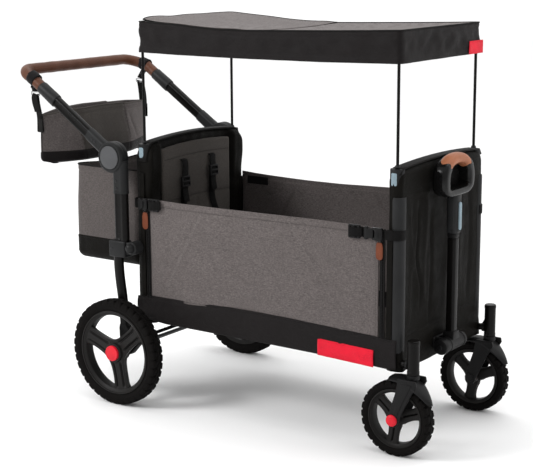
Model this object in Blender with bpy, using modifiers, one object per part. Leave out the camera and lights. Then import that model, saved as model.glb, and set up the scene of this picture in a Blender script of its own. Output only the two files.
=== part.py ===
"""Kids' push/pull canopy wagon: tube frame, fabric tub, spoked rear wheels, swivel
front casters, push handle with organiser, pull handle, canopy on four rods.

Metres, +Z up. +X is forward (pull-handle end), -X the push-handle end, +Y is left.
The origin is on the floor under the middle of the object. Names ending _l are on
the +Y side and _r on the -Y side.
"""

import math

import bmesh
import bpy
from mathutils import Matrix, Vector

for old in list(bpy.data.objects):
    bpy.data.objects.remove(old, do_unlink=True)

# ---- driving dimensions (metres) ------------------------------------------------
REAR_X, FRONT_X = -0.2335, 0.5605      # centres of the corner posts
POST_Y = 0.2005
POST_R, COLLAR_R, BORE_R = 0.014, 0.0168, 0.0048
POST_LOW, POST_TOP = 0.222, 0.7225     # posts' bottom and the sockets' top
COLLAR_LOW = 0.655
ROD_R = 0.0038                         # canopy rods
ROD_LOW, BOW_Z = 0.500, 1.0440
CANOPY_LOW, CANOPY_TOP, CANOPY_OVER = 0.973, 1.053, 0.009
LIFT = 0.200                           # the canopy can sink this far

HINGE_Z = 0.240                        # floor hinge line, on the bottom cross bars
BAR_R = 0.008
MID_X = (REAR_X + FRONT_X) / 2
BOARD_HALF_W, BOARD_T = 0.180, 0.012
MAT_T = 0.0155

REAR_WHEEL_X, REAR_WHEEL_Y, REAR_R, REAR_W = -0.2685, 0.297, 0.149, 0.042
FRONT_WHEEL_X, FRONT_WHEEL_Y, FRONT_R, FRONT_W = 0.5752, 0.210, 0.0973, 0.039
CASTER_X = 0.618
AXLE_R = 0.006

SIDE_Y, SKIN = 0.2185, 0.003           # inner face and thickness of the fabric sides
SIDE_LOW, SIDE_TOP = 0.217, 0.565

HUB_X, HUB_Y, HUB_Z, HUB_R = -0.305, 0.250, 0.686, 0.043
UPRIGHT_X = -0.2805
ARM_ANGLE = math.radians(34.3)         # of the handle arms above the horizontal
ARM_L, FERRULE_FROM = 0.3152, 0.235
GRIP_X, GRIP_Z, GRIP_R = -0.6575, 0.906, 0.0150
SLIDER_X, SLIDER_Z = -0.604, 0.841     # where the organiser's straps hang

PULL_X, PULL_Z = 0.6105, 0.250         # pull-handle pivot
PULL_OUT_R = 0.0150

GAP = 0.0003

# ---- scene helpers ---------------------------------------------------------------
scene = bpy.context.scene
PARTS = bpy.data.collections.new("canopy_wagon")
TOOLS = bpy.data.collections.new("cutters")
scene.collection.children.link(PARTS)
scene.collection.children.link(TOOLS)


def principled(name, colour, roughness, metallic=0.0):
    m = bpy.data.materials.new(name)
    m.use_nodes = True
    shader = m.node_tree.nodes["Principled BSDF"]
    shader.inputs["Base Color"].default_value = (*colour, 1.0)
    shader.inputs["Roughness"].default_value = roughness
    shader.inputs["Metallic"].default_value = metallic
    return m


M = {
    "frame_black": principled("frame_black", (0.022, 0.022, 0.024), 0.42, 0.35),
    "plastic_black": principled("plastic_black", (0.024, 0.024, 0.026), 0.50),
    "plastic_grey": principled("plastic_grey", (0.085, 0.088, 0.092), 0.45),
    "button_blue": principled("button_blue", (0.32, 0.40, 0.46), 0.45),
    "rubber": principled("rubber", (0.016, 0.016, 0.017), 0.85),
    "rim_black": principled("rim_black", (0.022, 0.021, 0.021), 0.5),
    "red": principled("red", (0.62, 0.015, 0.03), 0.4),
    "steel": principled("steel", (0.35, 0.35, 0.36), 0.3, 1.0),
    "fabric_black": principled("fabric_black", (0.018, 0.016, 0.017), 0.9),
    "fabric_grey": principled("fabric_grey", (0.115, 0.100, 0.095), 0.95),
    "fabric_dark": principled("fabric_dark", (0.055, 0.048, 0.045), 0.95),
    "leather": principled("leather", (0.30, 0.115, 0.055), 0.45),
    "board": principled("board", (0.05, 0.045, 0.04), 0.8),
}


def keep(obj, name, material, parent=None):
    """Names a finished piece, colours it, and hangs it on its joint's empty."""
    obj.name = name
    obj.data.name = name
    obj.data.materials.clear()
    obj.data.materials.append(M[material])
    if obj.name not in PARTS.objects:
        for c in list(obj.users_collection):
            c.objects.unlink(obj)
        PARTS.objects.link(obj)
    if parent is not None:
        obj.location = obj.location - parent.matrix_world.translation
        obj.parent = parent
    if obj.type == "MESH":
        obj.data.shade_smooth()
        obj.data.set_sharp_from_angle(angle=math.radians(35))
    return obj


def pivot(name, at, parent=None):
    """An empty on a joint's axis."""
    e = bpy.data.objects.new(name, None)
    PARTS.objects.link(e)
    e.empty_display_size = 0.03
    e.location = Vector(at) - (parent.matrix_world.translation if parent else Vector())
    e.parent = parent
    bpy.context.view_layer.update()
    return e


def from_bmesh(bm, location=(0, 0, 0), rotation=(0, 0, 0)):
    me = bpy.data.meshes.new("piece")
    bm.to_mesh(me)
    bm.free()
    obj = bpy.data.objects.new("piece", me)
    scene.collection.objects.link(obj)
    obj.location = location
    obj.rotation_euler = rotation
    return obj


def box(lo, hi, turn=(0, 0, 0), taper=1.0):
    """A box between two corners, with its origin at its middle."""
    lo, hi = Vector(lo), Vector(hi)
    bm = bmesh.new()
    bmesh.ops.create_cube(bm, size=1.0)
    bmesh.ops.scale(bm, vec=hi - lo, verts=bm.verts)
    if taper != 1.0:
        for v in bm.verts:
            if v.co.z < 0:
                v.co.x *= taper
    return from_bmesh(bm, (lo + hi) / 2, turn)


def box_s(lo, hi, s):
    """A box given for the +Y side, or its mirror image on the -Y side."""
    if s > 0:
        return box(lo, hi)
    return box((lo[0], -hi[1], lo[2]), (hi[0], -lo[1], hi[2]))


AXIS_TURN = {"X": (0, math.pi / 2, 0), "Y": (math.pi / 2, 0, 0), "Z": (0, 0, 0)}


def rod(at, axis, length, r, sides=16, r2=None):
    """A cylinder or cone centred on a point."""
    bm = bmesh.new()
    bmesh.ops.create_cone(
        bm, cap_ends=True, segments=sides, radius1=r, radius2=r if r2 is None else r2, depth=length
    )
    return from_bmesh(bm, at, AXIS_TURN[axis])


def rod_yy(x, z, y0, y1, r, sides=16):
    return rod((x, (y0 + y1) / 2, z), "Y", abs(y1 - y0), r, sides)


def turned(profile, at, axis, steps):
    """A ring: a closed profile of (radius, height), clockwise, spun about an axis."""
    me = bpy.data.meshes.new("profile")
    n = len(profile)
    me.from_pydata([(r, 0, h) for r, h in profile], [(i, (i + 1) % n) for i in range(n)], [])
    obj = bpy.data.objects.new("ring", me)
    scene.collection.objects.link(obj)
    obj.location = at
    obj.rotation_euler = AXIS_TURN[axis]
    s = obj.modifiers.new("spin", "SCREW")
    s.steps = s.render_steps = steps
    s.use_merge_vertices = True
    s.merge_threshold = 0.00005
    return obj


def tube(points, r, resolution=2, closed=False):
    cu = bpy.data.curves.new("tube", "CURVE")
    cu.dimensions = "3D"
    cu.bevel_depth = r
    cu.bevel_resolution = resolution
    cu.use_fill_caps = True
    sp = cu.splines.new("POLY")
    sp.points.add(len(points) - 1)
    for p, q in zip(sp.points, points):
        p.co = (*q, 1.0)
    sp.use_cyclic_u = closed
    obj = bpy.data.objects.new("tube", cu)
    scene.collection.objects.link(obj)
    return obj


def plate(outline, thickness, at=(0, 0, 0), plane="XZ"):
    """A flat outline given half its thickness of extrusion each way.
    plane XZ: outline (x, z), thick along Y. YZ: outline (y, z), thick along X."""
    cu = bpy.data.curves.new("plate", "CURVE")
    cu.dimensions = "2D"
    cu.fill_mode = "BOTH"
    cu.extrude = thickness / 2
    sp = cu.splines.new("POLY")
    sp.points.add(len(outline) - 1)
    for p, q in zip(sp.points, outline):
        p.co = (q[0], q[1], 0.0, 1.0)
    sp.use_cyclic_u = True
    obj = bpy.data.objects.new("plate", cu)
    scene.collection.objects.link(obj)
    obj.location = at
    obj.rotation_euler = (math.pi / 2, 0, 0) if plane == "XZ" else (math.pi / 2, 0, math.pi / 2)
    return meshed(obj)


def meshed(obj):
    """A curve as a mesh with its caps welded on."""
    bpy.context.view_layer.update()
    ev = obj.evaluated_get(bpy.context.evaluated_depsgraph_get())
    me = bpy.data.meshes.new_from_object(ev)
    bm = bmesh.new()
    bm.from_mesh(me)
    bmesh.ops.remove_doubles(bm, verts=bm.verts, dist=0.00002)
    bmesh.ops.recalc_face_normals(bm, faces=bm.faces)
    bm.to_mesh(me)
    bm.free()
    new = bpy.data.objects.new("meshed", me)
    scene.collection.objects.link(new)
    new.location = obj.location
    new.rotation_euler = obj.rotation_euler
    bpy.data.objects.remove(obj, do_unlink=True)
    return new


def boolean(target, tool, how):
    for c in list(tool.users_collection):
        c.objects.unlink(tool)
    TOOLS.objects.link(tool)
    tool.hide_render = True
    tool.display_type = "WIRE"
    b = target.modifiers.new(how.lower(), "BOOLEAN")
    b.operation = how
    b.solver = "EXACT"
    b.object = tool
    return target


def join(target, *tools):
    for t in tools:
        boolean(target, t, "UNION")
    return target


def cut(target, *tools):
    for t in tools:
        boolean(target, t, "DIFFERENCE")
    return target


def stadium(width, height, n=4):
    """A flat oval outline centred on the origin, counter-clockwise."""
    r = min(width, height) / 2
    dx, dy = max(width / 2 - r, 0), max(height / 2 - r, 0)
    pts = []
    for k, (sx, sy) in enumerate(((1, 1), (-1, 1), (-1, -1), (1, -1))):
        for i in range(n + 1):
            a = math.radians(90 * k + 90 * i / n)
            p = (sx * dx + r * math.cos(a), sy * dy + r * math.sin(a))
            if not pts or (Vector(p) - Vector(pts[-1])).length > 1e-5:
                pts.append(p)
    if (Vector(pts[0]) - Vector(pts[-1])).length < 1e-5:
        pts.pop()
    return pts


def oval_bar(start, end, wide, thick_y):
    """A flat-oval tube in the XZ plane between two points, thick along Y."""
    start, end = Vector(start), Vector(end)
    d = end - start
    cu = bpy.data.curves.new("oval", "CURVE")
    cu.dimensions = "2D"
    cu.fill_mode = "BOTH"
    cu.extrude = d.length / 2
    pts = stadium(wide, thick_y, 3)
    sp = cu.splines.new("POLY")
    sp.points.add(len(pts) - 1)
    for p, q in zip(sp.points, pts):
        p.co = (q[0], q[1], 0.0, 1.0)
    sp.use_cyclic_u = True
    obj = bpy.data.objects.new("oval", cu)
    scene.collection.objects.link(obj)
    obj.location = (start + end) / 2
    obj.rotation_euler = (0, math.atan2(d.x, d.z), 0)
    return meshed(obj)


SIDES = (("l", 1.0), ("r", -1.0))

# ---- joint empties ---------------------------------------------------------------
floor_rear_axis = pivot("floor_rear_axis", (REAR_X, 0, HINGE_Z))
floor_mid_axis = pivot("floor_mid_axis", (MID_X, 0, HINGE_Z), floor_rear_axis)
front_frame_axis = pivot("front_frame_axis", (FRONT_X, 0, HINGE_Z), floor_mid_axis)
handle_axis = pivot("handle_axis", (HUB_X, 0, HUB_Z))
organiser_axis = pivot("organiser_axis", (SLIDER_X, 0, SLIDER_Z), handle_axis)
rear_axle_axis = pivot("rear_axle_axis", (REAR_WHEEL_X, 0, REAR_R))
pull_axis = pivot("pull_axis", (PULL_X, 0, PULL_Z), front_frame_axis)
canopy_rear_axis = pivot("canopy_rear_axis", (REAR_X, 0, POST_TOP))
canopy_front_axis = pivot("canopy_front_axis", (FRONT_X, 0, POST_TOP), front_frame_axis)


# ---- end frames: two posts with sockets, a bowed top bar and a bottom bar ---------
def end_frame(x, crown):
    frame = rod((x, POST_Y, (POST_LOW + POST_TOP) / 2), "Z", POST_TOP - POST_LOW - 0.02, POST_R, 16)
    join(frame, rod((x, -POST_Y, (POST_LOW + POST_TOP) / 2), "Z", POST_TOP - POST_LOW - 0.02, POST_R, 16))
    for s in (1, -1):
        join(frame, rod((x, s * POST_Y, (COLLAR_LOW + POST_TOP) / 2), "Z", POST_TOP - COLLAR_LOW, COLLAR_R, 16))
    n = 8
    arch = [
        (x, POST_Y * (2 * i / n - 1), 0.694 + crown * (1 - (2 * i / n - 1) ** 2)) for i in range(n + 1)
    ]
    join(frame, meshed(tube(arch, 0.009, 1)))
    join(frame, rod((x, 0, HINGE_Z), "Y", 2 * POST_Y, BAR_R, 16))
    low = ROD_LOW - LIFT - 0.012
    for s in (1, -1):
        cut(frame, rod((x, s * POST_Y, (low + POST_TOP + 0.01) / 2), "Z", POST_TOP + 0.01 - low, BORE_R, 12))
        cut(frame, box_s((x - 0.0081, 0.2096, 0.6790), (x + 0.0081, 0.2250, 0.7160), s))
    return frame


rear_frame = keep(end_frame(REAR_X, 0.018), "rear_frame_hoop", "frame_black")
front_frame = keep(end_frame(FRONT_X, 0.024), "front_frame_hoop", "frame_black", front_frame_axis)

for end, x, parent in (("rear", REAR_X, None), ("front", FRONT_X, front_frame_axis)):
    for side, s in SIDES:
        b = box_s((x - 0.0075, 0.2136, 0.6800), (x + 0.0075, 0.2194, 0.7150), s)
        keep(b, f"canopy_button_{end}_{side}", "button_blue", parent)

# ---- fabric tub --------------------------------------------------------------------
rear_panel = box((REAR_X - 0.0240, -0.2215, SIDE_LOW + 0.003), (REAR_X - 0.0200, 0.2215, 0.722))
for side, s in SIDES:
    join(rear_panel, box_s((REAR_X - 0.0240, SIDE_Y, SIDE_LOW + 0.003), (REAR_X + 0.0310, SIDE_Y + SKIN, 0.660), s))
keep(rear_panel, "rear_panel", "fabric_black")

front_panel = box((FRONT_X + 0.0180, -0.2215, SIDE_LOW), (FRONT_X + 0.0220, 0.2215, 0.730))
for side, s in SIDES:
    join(front_panel, box_s((FRONT_X - 0.0155, SIDE_Y, SIDE_LOW), (FRONT_X + 0.0220, SIDE_Y + SKIN, 0.660), s))
    cut(front_panel, rod((FRONT_X + 0.02, s * 0.2065, 0.238), "X", 0.03, 0.0098, 12))
    cut(front_panel, box_s((FRONT_X + 0.01, 0.0345, 0.2320), (FRONT_X + 0.03, 0.0475, 0.2585), s))
keep(front_panel, "front_panel", "fabric_black", front_frame_axis)

for side, s in SIDES:
    keep(
        box_s((REAR_X + 0.0330, SIDE_Y, SIDE_LOW), (FRONT_X - 0.0175, SIDE_Y + SKIN, SIDE_TOP), s),
        f"side_panel_{side}",
        "fabric_grey",
    )
keep(box((REAR_X + 0.0175, -0.165, 0.410), (REAR_X + 0.0275, 0.165, 0.680)), "rear_seat_back", "fabric_dark")
keep(
    box((FRONT_X - 0.0275, -0.165, 0.410), (FRONT_X - 0.0175, 0.165, 0.680)),
    "front_seat_back",
    "fabric_dark",
    front_frame_axis,
)

# side-release buckles at the four top corners of the sides, and leather zip pulls
for side, s in SIDES:
    keep(box_s((-0.2430, 0.2225, 0.5430), (-0.1685, 0.2345, 0.5750), s), f"rear_buckle_{side}", "plastic_black")
    keep(
        box_s((0.4410, 0.2225, 0.5460), (0.5815, 0.2345, 0.5760), s),
        f"front_buckle_{side}",
        "plastic_black",
        front_frame_axis,
    )
    for end, x, z, parent in (("rear", -0.2215, 0.5380, None), ("front", 0.5257, 0.5420, front_frame_axis)):
        axis = pivot(f"{end}_zip_axis_{side}", (x, s * 0.2240, z), parent)
        z0 = z - 0.0465
        keep(box_s((x - 0.0085, 0.2226, z0), (x + 0.0085, 0.2254, z), s), f"{end}_zip_pull_{side}", "leather", axis)

# ---- folding floor: two boards hinged on the bottom bars and in the middle ----------
board_r = box(
    (REAR_X + 0.0120, -BOARD_HALF_W, HINGE_Z - BOARD_T / 2), (MID_X - 0.0220, BOARD_HALF_W, HINGE_Z + BOARD_T / 2)
)
for y in (-0.120, 0.120):
    join(board_r, box((REAR_X + 0.004, y - 0.015, HINGE_Z - 0.005), (REAR_X + 0.020, y + 0.015, HINGE_Z + 0.005)))
    join(board_r, rod((REAR_X, y, HINGE_Z), "Y", 0.030, 0.0125, 16))
    join(board_r, box((MID_X - 0.030, y - 0.015, HINGE_Z - 0.005), (MID_X - 0.003, y + 0.015, HINGE_Z + 0.005)))
    join(board_r, rod((MID_X, y, HINGE_Z), "Y", 0.030, 0.0095, 12))
cut(board_r, rod((REAR_X, 0, HINGE_Z), "Y", 0.42, BAR_R + 0.0006, 16))
cut(board_r, rod((MID_X, 0, HINGE_Z), "Y", 0.42, 0.0046, 12))
keep(board_r, "floor_board_rear", "board", floor_rear_axis)

board_f = box(
    (MID_X + 0.0220, -BOARD_HALF_W, HINGE_Z - BOARD_T / 2), (FRONT_X - 0.0120, BOARD_HALF_W, HINGE_Z + BOARD_T / 2)
)
for y in (-0.120, 0.120):
    join(board_f, box((FRONT_X - 0.020, y - 0.015, HINGE_Z - 0.005), (FRONT_X - 0.004, y + 0.015, HINGE_Z + 0.005)))
    join(board_f, rod((FRONT_X, y, HINGE_Z), "Y", 0.030, 0.0125, 16))
for y in (-0.155, 0.155):
    join(board_f, box((MID_X + 0.003, y - 0.015, HINGE_Z - 0.005), (MID_X + 0.030, y + 0.015, HINGE_Z + 0.005)))
    join(board_f, rod((MID_X, y, HINGE_Z), "Y", 0.030, 0.0095, 12))
cut(board_f, rod((FRONT_X, 0, HINGE_Z), "Y", 0.42, BAR_R + 0.0006, 16))
join(board_f, rod((MID_X, 0, HINGE_Z), "Y", 0.350, 0.0040, 12))
keep(board_f, "floor_board_front", "board", floor_mid_axis)

mat_z = HINGE_Z + BOARD_T / 2 + GAP
keep(box((REAR_X + 0.052, -0.174, mat_z), (MID_X - 0.026, 0.174, mat_z + MAT_T)), "floor_pad_rear", "fabric_dark", floor_rear_axis)
keep(box((MID_X + 0.026, -0.174, mat_z), (FRONT_X - 0.052, 0.174, mat_z + MAT_T)), "floor_pad_front", "fabric_dark", floor_mid_axis)

# ---- rear legs, clamps, lower hinge housings ----------------------------------------
for side, s in SIDES:
    y = s * HUB_Y
    leg = oval_bar((UPRIGHT_X, y, 0.424), (UPRIGHT_X, y, 0.5867), 0.045, 0.026)
    path = [
        (-0.2860, y, 0.452), (-0.2945, y, 0.420), (-0.2960, y, 0.390), (-0.2925, y, 0.352), (-0.2865, y, 0.315),
        (-0.2820, y, 0.280), (-0.2795, y, 0.245), (-0.2780, y, 0.205), (-0.2770, y, 0.170),
    ]
    join(leg, meshed(tube(path, 0.0125, 2)))
    join(leg, box_s((-0.2900, 0.2380, 0.1340), (-0.2240, 0.2620, 0.1900), s))
    join(leg, box_s((-0.3190, 0.2350, 0.4080), (-0.2560, 0.2650, 0.4550), s))
    join(leg, rod_yy(-0.2420, 0.4366, s * 0.2230, s * 0.2620, 0.0190, 16))
    join(leg, box_s((-0.2650, 0.2370, 0.4200), (-0.2420, 0.2600, 0.4530), s))
    cut(leg, rod_yy(REAR_WHEEL_X, REAR_R, s * 0.23, s * 0.27, AXLE_R + 0.0004, 16))
    cut(leg, rod_yy(-0.2375, 0.1780, s * 0.23, s * 0.2480, 0.0055, 12))
    keep(leg, f"rear_leg_{side}", "frame_black")

    housing = oval_bar((UPRIGHT_X, y, 0.5870), (UPRIGHT_X, y, 0.6900), 0.047, 0.031)
    cut(housing, rod_yy(HUB_X, HUB_Z, s * 0.2300, s * 0.2513, HUB_R + 0.0006, 32))
    join(housing, rod_yy(HUB_X, HUB_Z, s * 0.2513, s * 0.2680, HUB_R, 32))
    join(housing, rod_yy(HUB_X, HUB_Z, s * 0.2365, s * 0.2560, 0.0080, 12))
    cut(housing, rod_yy(HUB_X, HUB_Z, s * 0.2630, s * 0.2700, 0.0325, 24))
    keep(housing, f"hinge_housing_{side}", "plastic_black")

    cap = rod_yy(HUB_X, HUB_Z, s * 0.2662, s * 0.2702, 0.0320, 24)
    keep(cap, f"hinge_button_{side}", "plastic_grey")

# ---- push handle ----------------------------------------------------------------------
AX, AZ = -math.cos(ARM_ANGLE), math.sin(ARM_ANGLE)
for side, s in SIDES:
    y = s * HUB_Y
    at = lambda d: (HUB_X + AX * d, y, HUB_Z + AZ * d)
    arm = oval_bar(at(0.028), at(0.2340), 0.034, 0.025)
    join(arm, oval_bar(at(0.033), at(0.1050), 0.038, 0.029))
    cut(arm, rod_yy(HUB_X, HUB_Z, s * 0.2504, s * 0.2700, HUB_R + 0.0006, 32))
    join(arm, rod_yy(HUB_X, HUB_Z, s * 0.2360, s * 0.2507, HUB_R - 0.0004, 32))
    cut(arm, rod_yy(HUB_X, HUB_Z, s * 0.2300, s * 0.2550, 0.0085, 12))
    fer = meshed(tube([at(0.2330), at(0.3150)], 0.0190, 2))
    join(arm, fer)
    keep(arm, f"handle_arm_{side}", "frame_black", handle_axis)


def grip_half(s):
    """The leather grip's centreline from one ferrule to the middle of the cross bar."""
    pts = [(HUB_X + AX * d, s * HUB_Y, HUB_Z + AZ * d) for d in (0.3155, 0.335, 0.355)]
    c = 0.052
    sx, sz = pts[-1][0], pts[-1][2]
    n = 5
    for i in range(1, n + 1):
        a = math.pi / 2 * i / n
        x = sx + (GRIP_X - sx) * math.sin(a)
        z = sz + (GRIP_Z - sz) * math.sin(a)
        pts.append((x, s * (HUB_Y - c * (1 - math.cos(a))), z))
    return pts


left_half, right_half = grip_half(1), grip_half(-1)
grip = meshed(tube(left_half + right_half[::-1], GRIP_R, 2))
for side, s in SIDES:
    a, b = [Vector((HUB_X + AX * d, s * HUB_Y, HUB_Z + AZ * d)) for d in (0.3250, 0.3530)]
    join(grip, meshed(tube([a, b], 0.0185, 2)))
keep(grip, "push_grip", "leather", handle_axis)

# ---- organiser hanging between the handle arms ------------------------------------------
bag = box((-0.6175, -0.2150, 0.6360), (-0.5375, 0.2150, 0.7880))
cut(bag, box((-0.6145, -0.2120, 0.6390), (-0.5405, 0.2120, 0.8000)))
for side, s in SIDES:
    strap = [(0.2136, 0.748), (0.2175, 0.748), (0.2175, 0.790), (0.2450, 0.840), (0.2410, 0.842), (0.2136, 0.792)]
    join(bag, plate([(s * a, b) for a, b in (strap if s > 0 else strap[::-1])], 0.018, (SLIDER_X, 0, 0), "YZ"))
keep(bag, "organiser_bag", "fabric_grey", organiser_axis)

# ---- storage bag behind the tub ------------------------------------------------------------
sack = box((-0.4975, -0.2000, 0.3720), (REAR_X - 0.0245, 0.2000, 0.6450))
cut(sack, box((-0.4945, -0.1970, 0.3750), (REAR_X - 0.0275, 0.1970, 0.6600)))
keep(sack, "rear_storage_bag", "fabric_grey")


# ---- wheels ------------------------------------------------------------------------------------
def make_wheel(name, parent, x, y, big_r, half_w, rim_in, rim_out, rim_half, hub_r, hub0, hub1, bore, spoke_w, spoke_t, steps, first):
    s = 1 if y > 0 else -1
    profile = [(rim_out, rim_half), (rim_out, -rim_half), (rim_in, -rim_half), (rim_in, rim_half)]
    rim = turned(profile, (x, y, big_r), "Y", steps)
    join(rim, rod_yy(x, big_r, s * hub0, s * hub1, hub_r, 16))
    for k in range(3):
        a = math.radians(first + 120 * k)
        mid, length = (rim_in + 0.004) / 2, rim_in + 0.004
        arm = box(
            (x - length / 2 + mid * math.cos(a), y - spoke_t / 2, big_r - spoke_w / 2 + mid * math.sin(a)),
            (x + length / 2 + mid * math.cos(a), y + spoke_t / 2, big_r + spoke_w / 2 + mid * math.sin(a)),
            (0, -a, 0),
        )
        join(rim, arm)
    cut(rim, rod_yy(x, big_r, s * (hub0 - 0.01), s * (hub1 + 0.01), bore, 12))
    keep(rim, f"{name}_rim", "rim_black", parent)
    tyre_in = rim_out + GAP
    shoulder = big_r - (big_r - tyre_in) * 0.38
    tread = [
        (tyre_in, half_w * 0.86), (shoulder, half_w), (big_r - 0.004, half_w * 0.82), (big_r, half_w * 0.42),
        (big_r, -half_w * 0.42), (big_r - 0.004, -half_w * 0.82), (shoulder, -half_w), (tyre_in, -half_w * 0.86),
    ]
    tyre = turned(tread, (x, y, big_r), "Y", steps)
    keep(tyre, f"{name}_tyre", "rubber", parent)


for side, s in SIDES:
    make_wheel(
        f"rear_wheel_{side}", rear_axle_axis, REAR_WHEEL_X, s * REAR_WHEEL_Y, REAR_R, REAR_W / 2,
        0.1060, 0.1180, 0.0180, 0.0240, 0.2740, 0.3190, AXLE_R + 0.0005, 0.044, 0.022, 32, 40,
    )
    keep(
        rod_yy(REAR_WHEEL_X, REAR_R, s * 0.3195, s * 0.3255, 0.0215, 20), f"rear_hub_cap_{side}", "red", rear_axle_axis
    )
keep(rod_yy(REAR_WHEEL_X, REAR_R, -0.3185, 0.3185, AXLE_R, 12), "rear_axle", "steel")

brake = rod_yy(-0.2375, 0.1780, -0.2470, 0.2470, 0.0050, 12)
join(brake, box((-0.2990, 0.1300, 0.1700), (-0.2375, 0.1700, 0.1760)))
brake_axis = pivot("brake_axis", (-0.2375, 0, 0.1780))
keep(brake, "brake_bar", "frame_black", brake_axis)

# ---- front casters ---------------------------------------------------------------------------
for side, s in SIDES:
    y = s * FRONT_WHEEL_Y
    swivel = pivot(f"caster_axis_{side}", (CASTER_X, y, 0.21), front_frame_axis)
    spin = pivot(f"front_wheel_axis_{side}", (FRONT_WHEEL_X, y, FRONT_R), swivel)
    stem = rod((CASTER_X, y, 0.2600), "Z", 0.0860, 0.0155, 16)
    join(stem, rod(((FRONT_X + 0.0148 + CASTER_X) / 2, s * 0.2065, 0.238), "X", CASTER_X - FRONT_X - 0.0148, 0.0090, 12))
    cut(stem, rod((CASTER_X, y, 0.2500), "Z", 0.0800, 0.0068, 12))
    keep(stem, f"caster_stem_{side}", "frame_black", front_frame_axis)

    half = 0.0290
    fork = box((0.5930, y - half, 0.2010), (0.6480, y + half, 0.2140))
    leg_profile = [(0.5930, 0.2060), (0.5600, 0.1120), (0.5600, 0.0850), (0.5910, 0.0850), (0.6380, 0.2060)]
    for t in (1, -1):
        join(fork, plate(leg_profile, 0.0065, (0, y + t * 0.02575, 0), "XZ"))
    join(fork, rod((CASTER_X, y, 0.2480), "Z", 0.0740, 0.0062, 12))
    join(fork, rod_yy(FRONT_WHEEL_X, FRONT_R, y - 0.0285, y + 0.0285, 0.0050, 12))
    join(fork, rod_yy(FRONT_WHEEL_X, FRONT_R, y + s * 0.0280, y + s * 0.0360, 0.0150, 16))
    keep(fork, f"caster_fork_{side}", "plastic_black", swivel)

    make_wheel(
        f"front_wheel_{side}", spin, FRONT_WHEEL_X, y, FRONT_R, FRONT_W / 2,
        0.0665, 0.0755, 0.0165, 0.0160, 0.1900, 0.2300, 0.0055, 0.030, 0.018, 28, 20,
    )

# ---- pull handle --------------------------------------------------------------------------------
lug = box((FRONT_X + BAR_R + 0.0006, 0.0360, 0.2350), (PULL_X, 0.0460, 0.2560))
join(lug, rod_yy(PULL_X, PULL_Z, 0.0360, 0.0460, 0.0160, 16))
join(lug, box((FRONT_X + BAR_R + 0.0006, -0.0460, 0.2350), (PULL_X, -0.0360, 0.2560)))
join(lug, rod_yy(PULL_X, PULL_Z, -0.0460, -0.0360, 0.0160, 16))
join(lug, box((FRONT_X + BAR_R + 0.0006, -0.0460, 0.2350), (FRONT_X + 0.0170, 0.0460, 0.2450)))
cut(lug, rod_yy(PULL_X, PULL_Z, -0.06, 0.06, 0.0045, 12))
keep(lug, "pull_handle_bracket", "plastic_black", front_frame_axis)

outer = turned(
    [(PULL_OUT_R, 0.135), (PULL_OUT_R, -0.135), (0.0131, -0.135), (0.0131, 0.135)], (PULL_X, 0, 0.3995), "Z", 16
)
join(outer, rod_yy(PULL_X, PULL_Z, -0.0355, 0.0355, 0.0155, 16))
join(outer, rod_yy(PULL_X, PULL_Z, -0.0520, 0.0520, 0.0040, 12))
for s in (1, -1):
    join(outer, rod_yy(PULL_X, PULL_Z, s * 0.0465, s * 0.0520, 0.0150, 16))
keep(outer, "pull_tube_outer", "frame_black", pull_axis)

inner = rod((PULL_X, 0, 0.4300), "Z", 0.2400, 0.0124, 16)
join(inner, box((PULL_X - 0.0165, -0.0165, 0.5355), (PULL_X + 0.0175, 0.0165, 0.6380)))
cut(inner, box((PULL_X + 0.0120, -0.0068, 0.5430), (PULL_X + 0.0300, 0.0068, 0.6180)))
keep(inner, "pull_tube_inner", "plastic_grey", pull_axis)
keep(
    box((PULL_X + 0.0158, -0.0060, 0.5445), (PULL_X + 0.0205, 0.0060, 0.6165)), "pull_release_lever", "button_blue", pull_axis
)

half_d = [(0.0, 0.6385), (0.018, 0.6385), (0.045, 0.6520), (0.066, 0.6760), (0.0725, 0.7000), (0.0700, 0.7190), (0.0560, 0.7250)]
inner_d = [(0.0540, 0.7000), (0.0460, 0.6880), (0.0300, 0.6790), (0.0, 0.6760)]
ring = half_d + inner_d
outline = ring + [(-a, b) for a, b in ring[-2:0:-1]]
keep(plate(outline, 0.036, (PULL_X - 0.0005, 0, 0), "YZ"), "pull_grip", "plastic_black", pull_axis)
n = 6
saddle = [
    (PULL_X - 0.0005, 0.0500 * (2 * i / n - 1), 0.7165 + 0.0120 * (1 - (2 * i / n - 1) ** 2)) for i in range(n + 1)
]
keep(meshed(tube(saddle, 0.0122, 2)), "pull_grip_leather", "leather", pull_axis)


# ---- canopy: two bows in the post sockets, and the fabric top over them ---------------------------
def bow(x):
    c = 0.020
    pts = [(x, POST_Y, ROD_LOW)]
    for i in range(5):
        a = math.pi / 2 * i / 4
        pts.append((x, POST_Y - c * (1 - math.cos(a)), BOW_Z - c * (1 - math.sin(a))))
    return meshed(tube(pts + [(px, -py, pz) for px, py, pz in pts[::-1]], ROD_R, 1))


keep(bow(REAR_X), "canopy_bow_rear", "frame_black", canopy_rear_axis)
keep(bow(FRONT_X), "canopy_bow_front", "frame_black", canopy_front_axis)
o, w = CANOPY_OVER, 0.0022
top = box((REAR_X - o, -POST_Y - o, CANOPY_LOW), (FRONT_X + o, POST_Y + o, CANOPY_TOP))
cut(top, box((REAR_X - o + w, -POST_Y - o + w, CANOPY_LOW - 0.02), (FRONT_X + o - w, POST_Y + o - w, CANOPY_TOP - w)))
keep(top, "canopy_fabric", "fabric_black", canopy_rear_axis)
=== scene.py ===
import math

import bmesh
import bpy
import numpy as np
from mathutils import Matrix, Vector


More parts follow.
